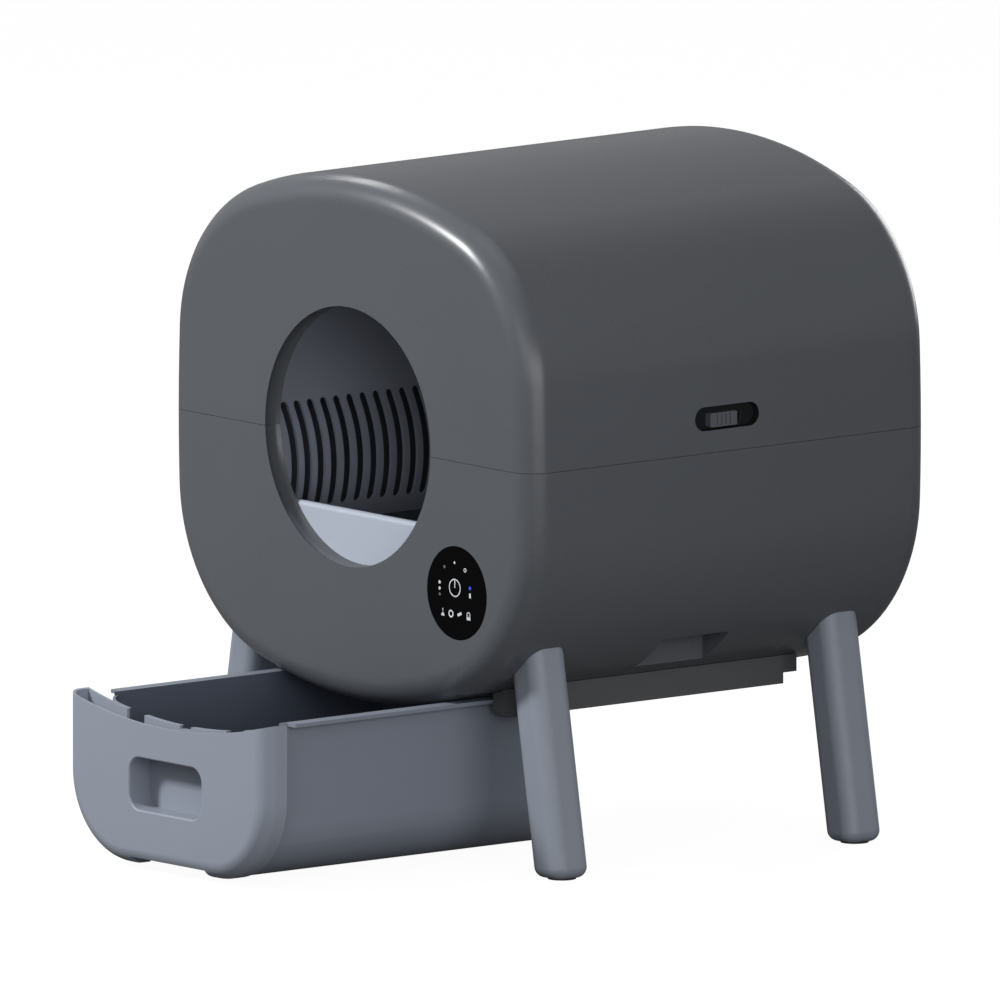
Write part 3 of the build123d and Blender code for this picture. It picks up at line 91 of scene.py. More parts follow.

# faces of the tub that look down more than this stay pale; the other inward faces get the painted
# shade
DOWN_FACING = 0.5

# depth of the grain in the plastics and metals
GRAIN_DEPTH = 0.1 * MM

# moulded plastic: scales of its grain and its slow cloud, and how far the cloud swings the gloss
GRAIN_SCALE = 1400.0
CLOUD_SCALE = 9.0
CLOUD_GLOSS = 0.12

# drawn metal: scale of its streaks, their stretch along Y, and what they do to tone and gloss
STREAK_SCALE = 900.0
STREAK_STRETCH = 0.06
STREAK_TONE = 0.25
STREAK_GLOSS = 0.15

# stage
FLOOR_TONE = 0.08
FLOOR_ROUGHNESS = 0.95
FLOOR_GLOW = 0.96
FLOOR_GLOSS = 0.06
SKY_LEVEL = 0.33
LAMP_AIM = (0.0, 0.1, 0.35)
LAMPS = (
    # name, place, size and power: a key ahead on the left, a rim lamp over it, soft fills
    ("Key", (-1.3, -2.3, 2.1), (0.5, 0.5), 106.0),
    ("Rim", (-2.3, 0.3, 2.65), (0.9, 0.4), 15.0),
    ("Top", (0.3, 0.1, 3.35), (2.0, 2.0), 9.0),
    ("Side fill", (2.95, -0.77, 0.72), (2.4, 1.2), 36.0),
    ("Front fill", (1.9, -2.2, 1.1), (1.4, 1.4), 10.0),
    ("Back fill", (-0.9, 3.0, 1.1), (1.6, 1.6), 30.0),
)


# ---------------------------------------------------------------- colours and settings
def srgb(red, green, blue):
    """A colour written as 0 to 255 on screen, as linear light."""
    return tuple(
        part / 12.92 if part <= 0.04045 else ((part + 0.055) / 1.055) ** 2.4
        for part in (red / 255, green / 255, blue / 255)
    )


def colour(name, about, shade):
    """A colour setting."""
    return FloatVectorProperty(
        name=name, description=about, subtype="COLOR", size=3, min=0, max=1, default=shade
    )


def length(name, about, size):
    """A length setting, given in millimetres."""
    return FloatProperty(
        name=name, description=about, unit="LENGTH", subtype="DISTANCE", default=size * MM, min=0
    )


class BoxColours(bpy.types.PropertyGroup):
    """Colours of the box's plastics and inner parts."""

    body: colour("Body", "Dark grey of the two body shells", srgb(82, 85, 90))
    pale: colour("Drawer front", "Blue grey of the drawer's front", srgb(136, 142, 154))
    # painted shade: the tub is a darker copy of the drawer front's plastic, standing in for the
    # shade under the body
    tub: colour("Drawer tub", "Blue grey of the drawer's tub", srgb(120, 126, 138))
    # painted shade: the deeper grey stands in for the shade inside the drawer's tub
    tub_inside_shade: colour("Tub inside", "Deeper grey inside the drawer's tub", srgb(78, 84, 97))
    legs: colour("Legs", "Blue grey of the legs", srgb(130, 136, 147))
    guard: colour("Guard", "Pale sill across the entrance", srgb(164, 171, 184))
    drum: colour("Sieve", "Blue grey of the sieve and the drum's ends", srgb(157, 163, 177))
    # painted shade: the drum's wall is a darker copy of the sieve's plastic, standing in for the
    # shade inside the drum
    wall: colour("Drum wall", "Deeper grey of the drum's wall behind the sieve", srgb(76, 80, 90))
    rails: colour("Rails", "Dark grey of the rails and the chute", srgb(80, 81, 84))
    # painted shade: near black stands in for the shade inside the latch recesses
    recess: colour("Latch recess", "Near black inside the latch recesses", srgb(26, 27, 29))
    lens: colour("Panel", "Gloss black of the control panel", srgb(4, 4, 5))
    marks: colour("Panel marks", "White of the panel's marks", srgb(200, 203, 207))
    dim_marks: colour("Dim marks", "Grey of the panel's marks that are off", srgb(96, 97, 92))
    lamp: colour("Panel lamp", "Blue of the lit lamp on the panel", srgb(46, 76, 205))
    gears: colour("Gears", "Natural acetal of the gears and rollers", srgb(226, 224, 214))
    steel: colour("Steel", "Zinc plated steel", srgb(186, 188, 192))
    motor: colour("Motor", "Painted motor and gearbox", srgb(48, 49, 52))
    board: colour("Boards", "Green of the circuit boards", srgb(24, 92, 52))
    socket: colour("Socket", "Black of the power socket", srgb(30, 30, 31))
    rubber: colour("Pads", "Black rubber under the legs", srgb(38, 38, 39))


class BoxEdges(bpy.types.PropertyGroup):
    """How soft the moulded edges are."""

    shell: length("Shell edge", "Rounding of the body shells' edges", 0.25)
    plate: length("Plate edge", "Rounding of thin plates such as the sieve", 0.5)
    rail: length("Rail edge", "Rounding of the rails' edges", 0.9)
    drawer: length("Drawer edge", "Rounding of the drawer's edges", 0.8)


class BoxView(bpy.types.PropertyGroup):
    """The camera's place and the plain studio round the box."""

    azimuth: FloatProperty(
        name="Azimuth", description="Turn of the view round the box", subtype="ANGLE",
        default=radians(51.0),
    )
    elevation: FloatProperty(
        name="Elevation", description="Height of the view over the floor", subtype="ANGLE",
        default=radians(8.89),
    )
    width: length("View width", "Width of the parallel view", 913.7)
    distance: length("Distance", "From the camera to the middle of the view", 3000.0)
    aim: FloatVectorProperty(
        name="Aim", description="Point in the middle of the view", subtype="TRANSLATION",
        default=(-0.0193, 0.0646, 0.3059),
    )
    floor_size: length("Floor size", "Side of the square floor", 36000.0)


# ---------------------------------------------------------------- modelling helpers
def deselect():
    """Leaves object mode and selects nothing."""
    if bpy.context.object and bpy.context.object.mode != "OBJECT":
        bpy.ops.object.mode_set(mode="OBJECT")
    bpy.ops.object.select_all(action="DESELECT")


def take(piece):
    """Makes a piece the one that operators act on."""
    deselect()
    piece.select_set(True)
    bpy.context.view_layer.objects.active = piece


def apply_modifiers(piece):
    """Applies what stands on a piece, in its order."""
    take(piece)
    for modifier in list(piece.modifiers):
        bpy.ops.object.modifier_apply(modifier=modifier.name)


def soften(piece, width, smooth=SMOOTH_ANGLE, sharp=None):
    """Rounds the edges sharper than an angle in degrees, by default the smooth one,
    and evens the shading."""
    if width:
        bevel = piece.modifiers.new("Soft edges", "BEVEL")
        bevel.width = width
        bevel.segments = 2
        bevel.limit_method = "ANGLE"
        bevel.angle_limit = radians(sharp or smooth)
        bevel.use_clamp_overlap = True
    apply_modifiers(piece)
    bpy.ops.object.shade_smooth_by_angle(angle=radians(smooth))
    weighted = piece.modifiers.new("Even shading", "WEIGHTED_NORMAL")
    weighted.keep_sharp = True
    apply_modifiers(piece)


def merged_copy(node):
    """A copy of a CAD node with its loose triangles merged into whole faces."""
    deselect()
    source = frame["nodes"][node]
    piece = source.copy()
    piece.data = source.data.copy()
    bpy.context.scene.collection.objects.link(piece)
    piece.name = f"{node}_finished"
    piece.parent = None
    piece.matrix_world = source.matrix_world.copy()
    piece.data.materials.clear()
    take(piece)
    bpy.ops.object.transform_apply(location=True, rotation=True, scale=True)
    bpy.ops.object.mode_set(mode="EDIT")
    bpy.ops.mesh.select_all(action="SELECT")
    bpy.ops.mesh.remove_doubles(threshold=MERGE_GAP)
    bpy.ops.mesh.dissolve_limited(angle_limit=FLAT_ANGLE)
    bpy.ops.mesh.customdata_custom_splitnormals_clear()
    bpy.ops.object.mode_set(mode="OBJECT")
    return piece


def body_of_node(node):
    """The name of the CAD body that a node rides on."""
    for body, nodes in frame["record"]["behaviour"]["bodies"].items():
        if node in nodes:
            return body
    raise ValueError(f"{node} is in no body")


def slot_of_node(node):
    """The record's material slot of a node."""
    for entry in frame["record"]["subparts"]:
        if entry["node"] == node:
            return entry["material_slot"]
    raise ValueError(f"{node} has no slot")


def stand_in(piece, node, material):
    """Gives a finished piece its material and puts it in its node's place."""
    piece.data.materials.clear()
    piece.data.materials.append(material)
    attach(piece, body_of_node(node))
    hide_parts(node)


def finish_copies(nodes, material, edge, smooth=SMOOTH_ANGLE, sharp=None):
    """Merged copies of like nodes, with soft edges and a material."""
    for node in nodes:
        piece = merged_copy(node)
        soften(piece, edge, smooth, sharp)
        stand_in(piece, node, material)


# ---------------------------------------------------------------- shader effects
def new_group(name, inputs, outputs):
    """A shader node group with named inputs and outputs, and the two nodes that hold them."""
    group = bpy.data.node_groups.new(name, "ShaderNodeTree")
    for label, kind, value in inputs:
        socket = group.interface.new_socket(label, in_out="INPUT", socket_type=kind)
        socket.default_value = value
    for label, kind in outputs:
        group.interface.new_socket(label, in_out="OUTPUT", socket_type=kind)
    entry = group.nodes.new("NodeGroupInput")
    leave = group.nodes.new("NodeGroupOutput")
    return group, entry, leave


def noise(nodes, scale, detail=3.0):
    """A noise texture node."""
    texture = nodes.new("ShaderNodeTexNoise")
    texture.inputs["Scale"].default_value = scale
    texture.inputs["Detail"].default_value = detail
    return texture


def math_node(nodes, operation, value=None):
    """A math node with its second value set."""
    node = nodes.new("ShaderNodeMath")
    node.operation = operation
    if value is not None:
        node.inputs[1].default_value = value
    return node


def moulded_group():
    """Moulded plastic: fine spark-eroded grain, slow tone drift and uneven gloss."""
    group, entry, leave = new_group(
        "Moulded grain",
        [
            ("Colour", "NodeSocketColor", (0.5, 0.5, 0.5, 1.0)),
            ("Roughness", "NodeSocketFloat", 0.5),
            ("Drift", "NodeSocketFloat", 0.04),
            ("Grain size", "NodeSocketFloat", GRAIN_SCALE),
        ],
        [
            ("Colour", "NodeSocketColor"),
            ("Roughness", "NodeSocketFloat"),
            ("Height", "NodeSocketFloat"),
        ],
    )
    nodes, links = group.nodes, group.links
    place = nodes.new("ShaderNodeTexCoord")
    grain = noise(nodes, 1.0, 2.0)
    links.new(place.outputs["Object"], grain.inputs["Vector"])
    links.new(entry.outputs["Grain size"], grain.inputs["Scale"])
    cloud = noise(nodes, CLOUD_SCALE, 4.0)
    links.new(place.outputs["Object"], cloud.inputs["Vector"])
    # tone: 1 plus drift times the cloud's departure from its middle
    centred = math_node(nodes, "SUBTRACT", 0.5)
    links.new(cloud.outputs["Fac"], centred.inputs[0])
    swing = math_node(nodes, "MULTIPLY")
    links.new(centred.outputs[0], swing.inputs[0])
    links.new(entry.outputs["Drift"], swing.inputs[1])
    tone = math_node(nodes, "ADD", 1.0)
    links.new(swing.outputs[0], tone.inputs[0])
    shade = nodes.new("ShaderNodeVectorMath")
    shade.operation = "SCALE"
    links.new(entry.outputs["Colour"], shade.inputs[0])
    links.new(tone.outputs[0], shade.inputs["Scale"])
    links.new(shade.outputs[0], leave.inputs["Colour"])
    # gloss: rougher where the cloud is bright
    gloss = math_node(nodes, "MULTIPLY_ADD", CLOUD_GLOSS)
    links.new(centred.outputs[0], gloss.inputs[0])
    links.new(entry.outputs["Roughness"], gloss.inputs[2])
    links.new(gloss.outputs[0], leave.inputs["Roughness"])
    links.new(grain.outputs["Fac"], leave.inputs["Height"])
    return group


def plated_group():
    """Plated or turned metal: fine drawn streaks in tone, gloss and height."""
    group, entry, leave = new_group(
        "Drawn metal",
        [
            ("Colour", "NodeSocketColor", (0.5, 0.5, 0.5, 1.0)),
            ("Roughness", "NodeSocketFloat", 0.35),
        ],
        [
            ("Colour", "NodeSocketColor"),
            ("Roughness", "NodeSocketFloat"),
            ("Height", "NodeSocketFloat"),
        ],
    )
    nodes, links = group.nodes, group.links
    place = nodes.new("ShaderNodeTexCoord")
    stretch = nodes.new("ShaderNodeMapping")
    stretch.inputs["Scale"].default_value = (1.0, STREAK_STRETCH, 1.0)
    links.new(place.outputs["Object"], stretch.inputs["Vector"])
    streaks = noise(nodes, STREAK_SCALE)
    links.new(stretch.outputs["Vector"], streaks.inputs["Vector"])
    tone = math_node(nodes, "MULTIPLY_ADD", STREAK_TONE)
    tone.inputs[2].default_value = 1 - STREAK_TONE / 2
    links.new(streaks.outputs["Fac"], tone.inputs[0])
    shade = nodes.new("ShaderNodeVectorMath")
    shade.operation = "SCALE"
    links.new(entry.outputs["Colour"], shade.inputs[0])
    links.new(tone.outputs[0], shade.inputs["Scale"])
    links.new(shade.outputs[0], leave.inputs["Colour"])
    gloss = math_node(nodes, "MULTIPLY_ADD", STREAK_GLOSS)
    links.new(streaks.outputs["Fac"], gloss.inputs[0])
    links.new(entry.outputs["Roughness"], gloss.inputs[2])
    links.new(gloss.outputs[0], leave.inputs["Roughness"])
    links.new(streaks.outputs["Fac"], leave.inputs["Height"])
    return group


SURFACE_SOCKETS = {"metallic": "Metallic", "specular_ior_level": "Specular IOR Level"}


def dressed(name, effect, values, bump, **surface):
    """A material whose colour, gloss and bump come from an effect group."""
    material = bpy.data.materials.get(name)
    if material:
        return material
    material = bpy.data.materials.new(name)
    material.use_nodes = True
    nodes, links = material.node_tree.nodes, material.node_tree.links
    shader = nodes["Principled BSDF"]
    for label, value in surface.items():
        shader.inputs[SURFACE_SOCKETS[label]].default_value = value
    node = nodes.new("ShaderNodeGroup")
    node.node_tree = effect
    for label, value in values.items():
        node.inputs[label].default_value = value
    links.new(node.outputs["Colour"], shader.inputs["Base Color"])
    links.new(node.outputs["Roughness"], shader.inputs["Roughness"])
    relief = nodes.new("ShaderNodeBump")
    relief.inputs["Strength"].default_value = bump
    relief.inputs["Distance"].default_value = GRAIN_DEPTH
    links.new(node.outputs["Height"], relief.inputs["Height"])
    links.new(relief.outputs["Normal"], shader.inputs["Normal"])
    return material


def effect_group(name):
    """An effect group, built on first use."""
    makers = {"Moulded grain": moulded_group, "Drawn metal": plated_group}
    return bpy.data.node_groups.get(name) or makers[name]()


def plastic(name, shade, roughness, bump=0.25, drift=0.05, **surface):
    """A moulded plastic in a colour."""
    return dressed(
        name, effect_group("Moulded grain"),
        {"Colour": (*shade, 1.0), "Roughness": roughness, "Drift": drift}, bump, **surface
    )


def metal(name, shade, roughness, bump=0.2):
    """A plated metal in a colour."""
    return dressed(
        name, effect_group("Drawn metal"),
        {"Colour": (*shade, 1.0), "Roughness": roughness}, bump, metallic=1.0
    )


def body_plastic():
    return plastic("Body plastic", colours().body, 0.28, bump=0.08, specular_ior_level=0.35)


def pale_plastic():
    return plastic("Pale plastic", colours().pale, 0.45, bump=0.15, specular_ior_level=0.3)


# the drawer front's plastic darkened, with the shade under the body painted in
def tub_shaded_plastic():
    return plastic("Tub plastic", colours().tub, 0.45, bump=0.15, specular_ior_level=0.3)


# a deeper grey plastic that paints the shade inside the tub
def tub_inside_shade_plastic():
    return plastic("Tub inside", colours().tub_inside_shade, 0.6, bump=0.15, specular_ior_level=0.2)


def leg_plastic():
    return plastic("Leg plastic", colours().legs, 0.45, bump=0.15, specular_ior_level=0.3)


def guard_plastic():
    return plastic("Guard plastic", colours().guard, 0.4, bump=0.12, specular_ior_level=0.3)


def drum_plastic():
    return plastic("Drum plastic", colours().drum, 0.5, bump=0.15, specular_ior_level=0.3)


# the sieve's plastic darkened, with the shade inside the drum painted in
def drum_wall_shade_plastic():
    return plastic("Drum wall", colours().wall, 0.5, bump=0.15, specular_ior_level=0.3)


def rail_plastic():
    return plastic("Rail plastic", colours().rails, 0.55, bump=0.2, specular_ior_level=0.3)


# a near black plastic that paints the shade inside the latch recesses
def recess_shade_plastic():
    return plastic("Latch recess", colours().recess, 0.6, bump=0.1, specular_ior_level=0.1)


def lens_plastic():
    return plastic(
        "Panel lens", colours().lens, 0.08, bump=0.02, drift=0.0, specular_ior_level=0.06
    )


def mark_paint(name, shade):
    return plastic(name, shade, 0.5, bump=0.05, drift=0.0)


def gear_plastic():
    return plastic("Gear plastic", colours().gears, 0.35, bump=0.1)


def zinc_steel():
    return metal("Zinc steel", colours().steel, 0.3)


def motor_paint():
    return plastic("Motor paint", colours().motor, 0.4, bump=0.3)


def board_lacquer():
    return plastic("Board lacquer", colours().board, 0.3, bump=0.1)


def socket_plastic():
    return plastic("Socket plastic", colours().socket, 0.4)


def pad_rubber():
    return plastic("Pad rubber", colours().rubber, 0.8, bump=0.5, drift=0.1)


def colours():
    """The box's colour settings."""
    return bpy.context.scene.litter_box_colours


def edges():
    """The box's edge settings."""
    return bpy.context.scene.litter_box_edges


# ---------------------------------------------------------------- pieces
def paint_recess_shade(shell):
    """Paints the shade on the floors and walls of the latch recesses, as a near black plastic."""
    shell.data.materials.append(recess_shade_plastic())
    skin_low, skin_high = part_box("upper_shell")
    for latch in ("left_latch", "right_latch"):
        low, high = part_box(latch)
        out = 1 if low[0] > 0 else -1
        flank = skin_high[0] if out > 0 else skin_low[0]
        for face in shell.data.polygons:
            x, y, z = face.center
            sunk = RECESS_SKIN < (flank - x) * out < RECESS_SUNK
            near = low[1] - RECESS_REACH < y < high[1] + RECESS_REACH
            level = low[2] + RECESS_RISE < z < high[2] + RECESS_RISE
            floor_or_wall = face.normal.x * out > FLOOR_FACING or abs(face.normal.x) < WALL_FACING
            if sunk and near and level and floor_or_wall:
                face.material_index = 1


class LITTERBOX_OT_shells(bpy.types.Operator):
    """Body shells with the grooved lip, the latch recesses and the panel's boss, with shade
    painted in the recesses
    """

    bl_idname = "litter_box.shells"
    bl_label = "Body shells"

    def execute(self, context):
        finish_copies(
            ("upper_shell", "lower_shell"), body_plastic(), edges().shell,
            SHELL_SMOOTH_ANGLE, SHELL_EDGE_ANGLE,
        )
        # paints the shade in the latch recesses near black
        paint_recess_shade(bpy.data.objects["upper_shell_finished"])
        return {"FINISHED"}


class LITTERBOX_OT_latches(bpy.types.Operator):
    """Ribbed sliding latches in the flanks"""

    bl_idname = "litter_box.latches"
    bl_label = "Latches"

    def execute(self, context):
        finish_copies(("left_latch", "right_latch"), body_plastic(), edges().plate)
        return {"FINISHED"}


class LITTERBOX_OT_guard(bpy.types.Operator):
    """Pale sill across the lower part of the entrance"""

    bl_idname = "litter_box.guard"
    bl_label = "Litter guard"

    def execute(self, context):
        finish_copies(("litter_guard",), guard_plastic(), edges().plate)
        return {"FINISHED"}


class LITTERBOX_OT_drum(bpy.types.Operator):
    """Drum with its slotted sieve and its two ends"""

    bl_idname = "litter_box.drum"
    bl_label = "Drum"

    def execute(self, context):
        finish_copies(("drum_front", "drum_back", "sieve"), drum_plastic(), edges().plate)
        # the drum's wall takes the darker plastic that paints the shade inside the drum
        finish_copies(("drum_shell",), drum_wall_shade_plastic(), edges().plate)
        return {"FINISHED"}


def mark_face(place, radius, corners, turn=0.0):
    """A flat mark with that many corners, at a place on the panel given from its middle."""
    deselect()
    bpy.ops.mesh.primitive_circle_add(
        vertices=corners, radius=radius, fill_type="NGON", location=panel_spot(place),
        rotation=(radians(90), radians(turn), 0),
    )
    mark = bpy.context.object
    bpy.ops.object.transform_apply(location=True, rotation=True, scale=True)
    return mark


def mark_ring(place, radius, wall, corners=28, turn=0.0):
    """A flat ring with a wall."""
    mark = mark_face(place, radius, corners, turn)
    bpy.ops.object.mode_set(mode="EDIT")
    bpy.ops.mesh.select_all(action="SELECT")
    bpy.ops.mesh.inset(thickness=wall)
    bpy.ops.mesh.delete(type="FACE")
    bpy.ops.object.mode_set(mode="OBJECT")
    return mark


def mark_bar(place, width, height, turn=0.0):
    """A flat bar, leaning to the right by its turn."""
    mark = mark_face((0, 0), BAR_START, 4, 45.0)
    bpy.ops.object.mode_set(mode="EDIT")
    bpy.ops.mesh.select_all(action="SELECT")
    centre = panel_spot((0, 0))
    square = 2 * sin(radians(45)) * BAR_START
    bpy.ops.transform.resize(
        value=(width / square, 1, height / square), center_override=centre
    )
    bpy.ops.transform.rotate(
        value=radians(turn), orient_axis="Y", orient_type="GLOBAL", center_override=centre
    )
    bpy.ops.transform.translate(value=(place[0], 0, place[1]))
    bpy.ops.object.mode_set(mode="OBJECT")
    return mark


def spot(right, up):
    """Millimetres to the right of and above the panel's middle, in metres."""
    return right * MM, up * MM


def panel_spot(place):
    """A place on the panel's face, given in metres to the right of and above its middle."""
    low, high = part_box("panel_lens")
    return ((low[0] + high[0]) / 2 + place[0], low[1], (low[2] + high[2]) / 2 + place[1])


def print_marks(name, marks, material):
    """Joins flat marks into one thin raised print on the panel."""
    deselect()
    for mark in marks:
        mark.select_set(True)
    bpy.context.view_layer.objects.active = marks[0]
    bpy.ops.object.join()
    piece = bpy.context.object
    piece.name = name
    film = piece.modifiers.new("Film", "SOLIDIFY")
    film.thickness = MARK_FILM
    film.offset = 1.0
    apply_modifiers(piece)
    piece.data.materials.append(material)
    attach(piece, body_of_node("panel_lens"))
    return piece


class LITTERBOX_OT_panel(bpy.types.Operator):
    """Gloss control panel with its printed marks"""

    bl_idname = "litter_box.panel"
    bl_label = "Control panel"

    def execute(self, context):
        finish_copies(("panel_lens",), lens_plastic(), edges().plate)
        marks = [
            # signs along the top
            mark_face(spot(-3.4, 27.9), 1.5 * MM, 4),
            mark_ring(spot(11.8, 22.6), 2.0 * MM, 0.9 * MM),
            # level lamps down the left
            mark_face(spot(-25.0, 7.5), 1.6 * MM, 16),
            mark_face(spot(-25.0, 1.9), 1.5 * MM, 16),
            # switch sign in the middle: a ring round an upright bar
            mark_ring(spot(-3.0, 4.6), 8.4 * MM, 1.1 * MM, 48),
            mark_bar(spot(-3.0, 8.4), 1.2 * MM, 7.4 * MM),
            mark_bar(spot(19.1, -0.2), 2.4 * MM, 4.4 * MM),
            # keys along the bottom
            mark_face(spot(-20.3, -21.4), 3.0 * MM, 3),
            mark_bar(spot(-20.3, -18.0), 1.0 * MM, 4.0 * MM),
            mark_ring(spot(-8.5, -19.8), 3.6 * MM, 1.4 * MM),
            mark_bar(spot(3.9, -19.0), 6.2 * MM, 2.6 * MM, 24.0),
            mark_ring(spot(16.9, -18.0), 2.5 * MM, 0.9 * MM),
            mark_bar(spot(16.9, -21.2), 5.4 * MM, 3.6 * MM),
        ]
        print_marks("panel_marks", marks, mark_paint("Panel marks", colours().marks))
        dim = [
            mark_face(spot(-18.0, 22.5), 1.5 * MM, 12),
            mark_face(spot(-24.8, -3.6), 1.4 * MM, 16),
        ]
        print_marks("panel_dim_marks", dim, mark_paint("Dim marks", colours().dim_marks))
        lit = [mark_face(spot(19.0, 6.8), 1.8 * MM, 16)]
        print_marks("panel_lamp", lit, mark_paint("Panel lamp", colours().lamp))
        return {"FINISHED"}


def paint_tub_shade(tub):
    """Paints the shade on the faces that look into the tub, in its deeper grey."""
    tub.data.materials.append(tub_inside_shade_plastic())
    low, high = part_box("drawer_bin")
    middle = (Vector(low) + Vector(high)) / 2
    for face in tub.data.polygons:
        inward = (middle - face.center).dot(face.normal) > 0
        if inward and face.normal.z > -DOWN_FACING:
            face.material_index = 1


class LITTERBOX_OT_drawer(bpy.types.Operator):
    """Waste drawer: its tub, with painted shade on it and deeper inside it, and its hollow front
    with the handle pocket
    """

    bl_idname = "litter_box.drawer"
    bl_label = "Drawer"

    def execute(self, context):
        finish_copies(("drawer_fascia",), pale_plastic(), edges().drawer)
        finish_copies(("drawer_bin",), tub_shaded_plastic(), edges().drawer)
        # paints the shade inside the tub
        paint_tub_shade(bpy.data.objects["drawer_bin_finished"])
        return {"FINISHED"}


class LITTERBOX_OT_legs(bpy.types.Operator):
    """Four leaning legs with round corners"""

    bl_idname = "litter_box.legs"
    bl_label = "Legs"

    def execute(self, context):
        nodes = [node for node in frame["nodes"] if node.endswith("_leg")]
        finish_copies(nodes, leg_plastic(), 0.0)
        return {"FINISHED"}


class LITTERBOX_OT_rails(bpy.types.Operator):
    """Dark rails, chute and roller forks under and in the body"""

    bl_idname = "litter_box.rails"
    bl_label = "Rails and chute"

    def execute(self, context):
        finish_copies(
            ("left_rail", "right_rail", "waste_chute", "roller_brackets"),
            rail_plastic(), edges().rail
        )
        return {"FINISHED"}


class LITTERBOX_OT_inner_parts(bpy.types.Operator):
    """Materials of the CAD nodes that keep their own shape"""

    bl_idname = "litter_box.inner_parts"
    bl_label = "Inner parts"

    def execute(self, context):
        finishes = {
            "gear_plastic": gear_plastic,
            "zinc_steel": zinc_steel,
            "motor_black": motor_paint,
            "board_green": board_lacquer,
            "socket_black": socket_plastic,
            "pad_rubber": pad_rubber,
        }
        for name, node in frame["nodes"].items():
            finish = finishes.get(slot_of_node(name))
            if finish:
                node.data.materials.clear()
                node.data.materials.append(finish())
        return {"FINISHED"}


# ---------------------------------------------------------------- stage
def floor_material():
    """A plain pale floor that the camera and reflections see as white, with its shadows kept."""
    material = bpy.data.materials.new("Floor")
    material.use_nodes = True
    nodes, links = material.node_tree.nodes, material.node_tree.links
    shader = nodes["Principled BSDF"]
    shader.inputs["Base Color"].default_value = (FLOOR_TONE, FLOOR_TONE, FLOOR_TONE, 1.0)
    shader.inputs["Roughness"].default_value = FLOOR_ROUGHNESS
    shader.inputs["Specular IOR Level"].default_value = 0.0
    white = nodes.new("ShaderNodeEmission")
    path = nodes.new("ShaderNodeLightPath")
    direct = math_node(nodes, "MULTIPLY", FLOOR_GLOW)
    links.new(path.outputs["Is Camera Ray"], direct.inputs[0])
    mirrored = math_node(nodes, "MAXIMUM")
    links.new(path.outputs["Is Glossy Ray"], mirrored.inputs[0])
    links.new(path.outputs["Is Transmission Ray"], mirrored.inputs[1])
    glow = math_node(nodes, "MULTIPLY_ADD", FLOOR_GLOSS)
    links.new(mirrored.outputs[0], glow.inputs[0])
    links.new(direct.outputs[0], glow.inputs[2])
    links.new(glow.outputs[0], white.inputs["Strength"])
    both = nodes.new("ShaderNodeAddShader")
    links.new(shader.outputs[0], both.inputs[0])
    links.new(white.outputs[0], both.inputs[1])
    links.new(both.outputs[0], nodes["Material Output"].inputs["Surface"])
    return material


def add_lamp(name, place, aim, size, power):
    """A soft square lamp."""
    light = bpy.data.lights.new(name, "AREA")
    light.shape = "RECTANGLE"
    light.size, light.size_y = size
    light.energy = power
    lamp = bpy.data.objects.new(name, light)
    bpy.context.scene.collection.objects.link(lamp)
    lamp.location = place
    lamp.rotation_euler = (Vector(aim) - Vector(place)).to_track_quat("-Z", "Y").to_euler()
    return lamp


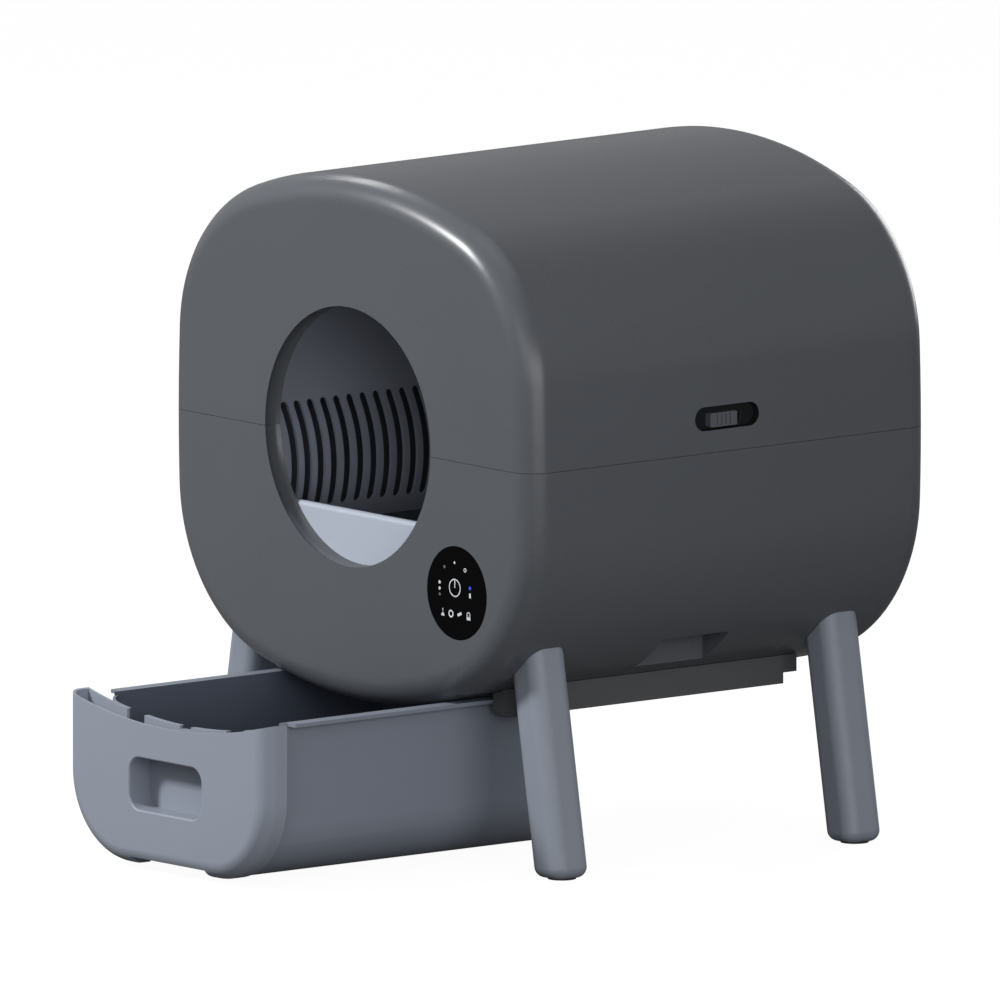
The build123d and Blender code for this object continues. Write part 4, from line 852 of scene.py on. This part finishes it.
class LITTERBOX_OT_stage(bpy.types.Operator):
    """Camera, soft lamps, white world and pale floor"""

    bl_idname = "litter_box.stage"
    bl_label = "Stage"

    def execute(self, context):
        scene = context.scene
        view = scene.litter_box_view
        # camera
        lens = bpy.data.cameras.new("Camera")
        lens.type = "ORTHO"
        lens.ortho_scale = view.width
        camera = bpy.data.objects.new("Camera", lens)
        scene.collection.objects.link(camera)
        aim = Vector(view.aim)
        away = Vector((
            cos(view.elevation) * sin(view.azimuth),
            -cos(view.elevation) * cos(view.azimuth),
            sin(view.elevation),
        ))
        camera.location = aim + away * view.distance
        camera.rotation_euler = (-away).to_track_quat("-Z", "Y").to_euler()
        scene.camera = camera
        # floor
        deselect()
        bpy.ops.mesh.primitive_plane_add(size=view.floor_size, location=(0, 0, 0))
        floor = context.object
        floor.name = "floor"
        floor.data.materials.append(floor_material())
        # world
        world = bpy.data.worlds.new("Studio")
        scene.world = world
        world.use_nodes = True
        nodes, links = world.node_tree.nodes, world.node_tree.links
        sky = nodes["Background"]
        sky.inputs["Color"].default_value = (1.0, 1.0, 1.0, 1.0)
        # white to the camera, and dimmer as a light
        path = nodes.new("ShaderNodeLightPath")
        seen = math_node(nodes, "MAXIMUM", SKY_LEVEL)
        links.new(path.outputs["Is Camera Ray"], seen.inputs[0])
        links.new(seen.outputs[0], sky.inputs["Strength"])
        # lamps
        for name, place, size, power in LAMPS:
            add_lamp(name, place, LAMP_AIM, size, power)
        scene.view_settings.view_transform = "Standard"
        return {"FINISHED"}


class LITTERBOX_PT_panel(bpy.types.Panel):
    """The steps that dress the litter box"""

    bl_label = "Litter Box"
    bl_idname = "LITTERBOX_PT_panel"
    bl_space_type = "VIEW_3D"
    bl_region_type = "UI"
    bl_category = "Litter Box"

    def draw(self, context):
        layout = self.layout
        for step in STEPS:
            layout.operator(step.bl_idname)
        for group in (colours(), edges(), context.scene.litter_box_view):
            box = layout.box()
            for name in group.__annotations__:
                box.prop(group, name)


SETTINGS = {
    "litter_box_colours": BoxColours,
    "litter_box_edges": BoxEdges,
    "litter_box_view": BoxView,
}
STEPS = (
    LITTERBOX_OT_stage,
    LITTERBOX_OT_shells,
    LITTERBOX_OT_latches,
    LITTERBOX_OT_guard,
    LITTERBOX_OT_drum,
    LITTERBOX_OT_panel,
    LITTERBOX_OT_drawer,
    LITTERBOX_OT_legs,
    LITTERBOX_OT_rails,
    LITTERBOX_OT_inner_parts,
)


def register():
    for group in SETTINGS.values():
        bpy.utils.register_class(group)
    for step in STEPS:
        bpy.utils.register_class(step)
    bpy.utils.register_class(LITTERBOX_PT_panel)
    for name, group in SETTINGS.items():
        setattr(bpy.types.Scene, name, PointerProperty(type=group))


def unregister():
    for name in SETTINGS:
        delattr(bpy.types.Scene, name)
    bpy.utils.unregister_class(LITTERBOX_PT_panel)
    for step in reversed(STEPS):
        bpy.utils.unregister_class(step)
    for group in reversed(SETTINGS.values()):
        bpy.utils.unregister_class(group)


def main():
    """Makes the stage and every piece."""
    register()
    for step in STEPS:
        family, name = step.bl_idname.split(".")
        getattr(getattr(bpy.ops, family), name)()


if __name__ == "__main__":
    main()
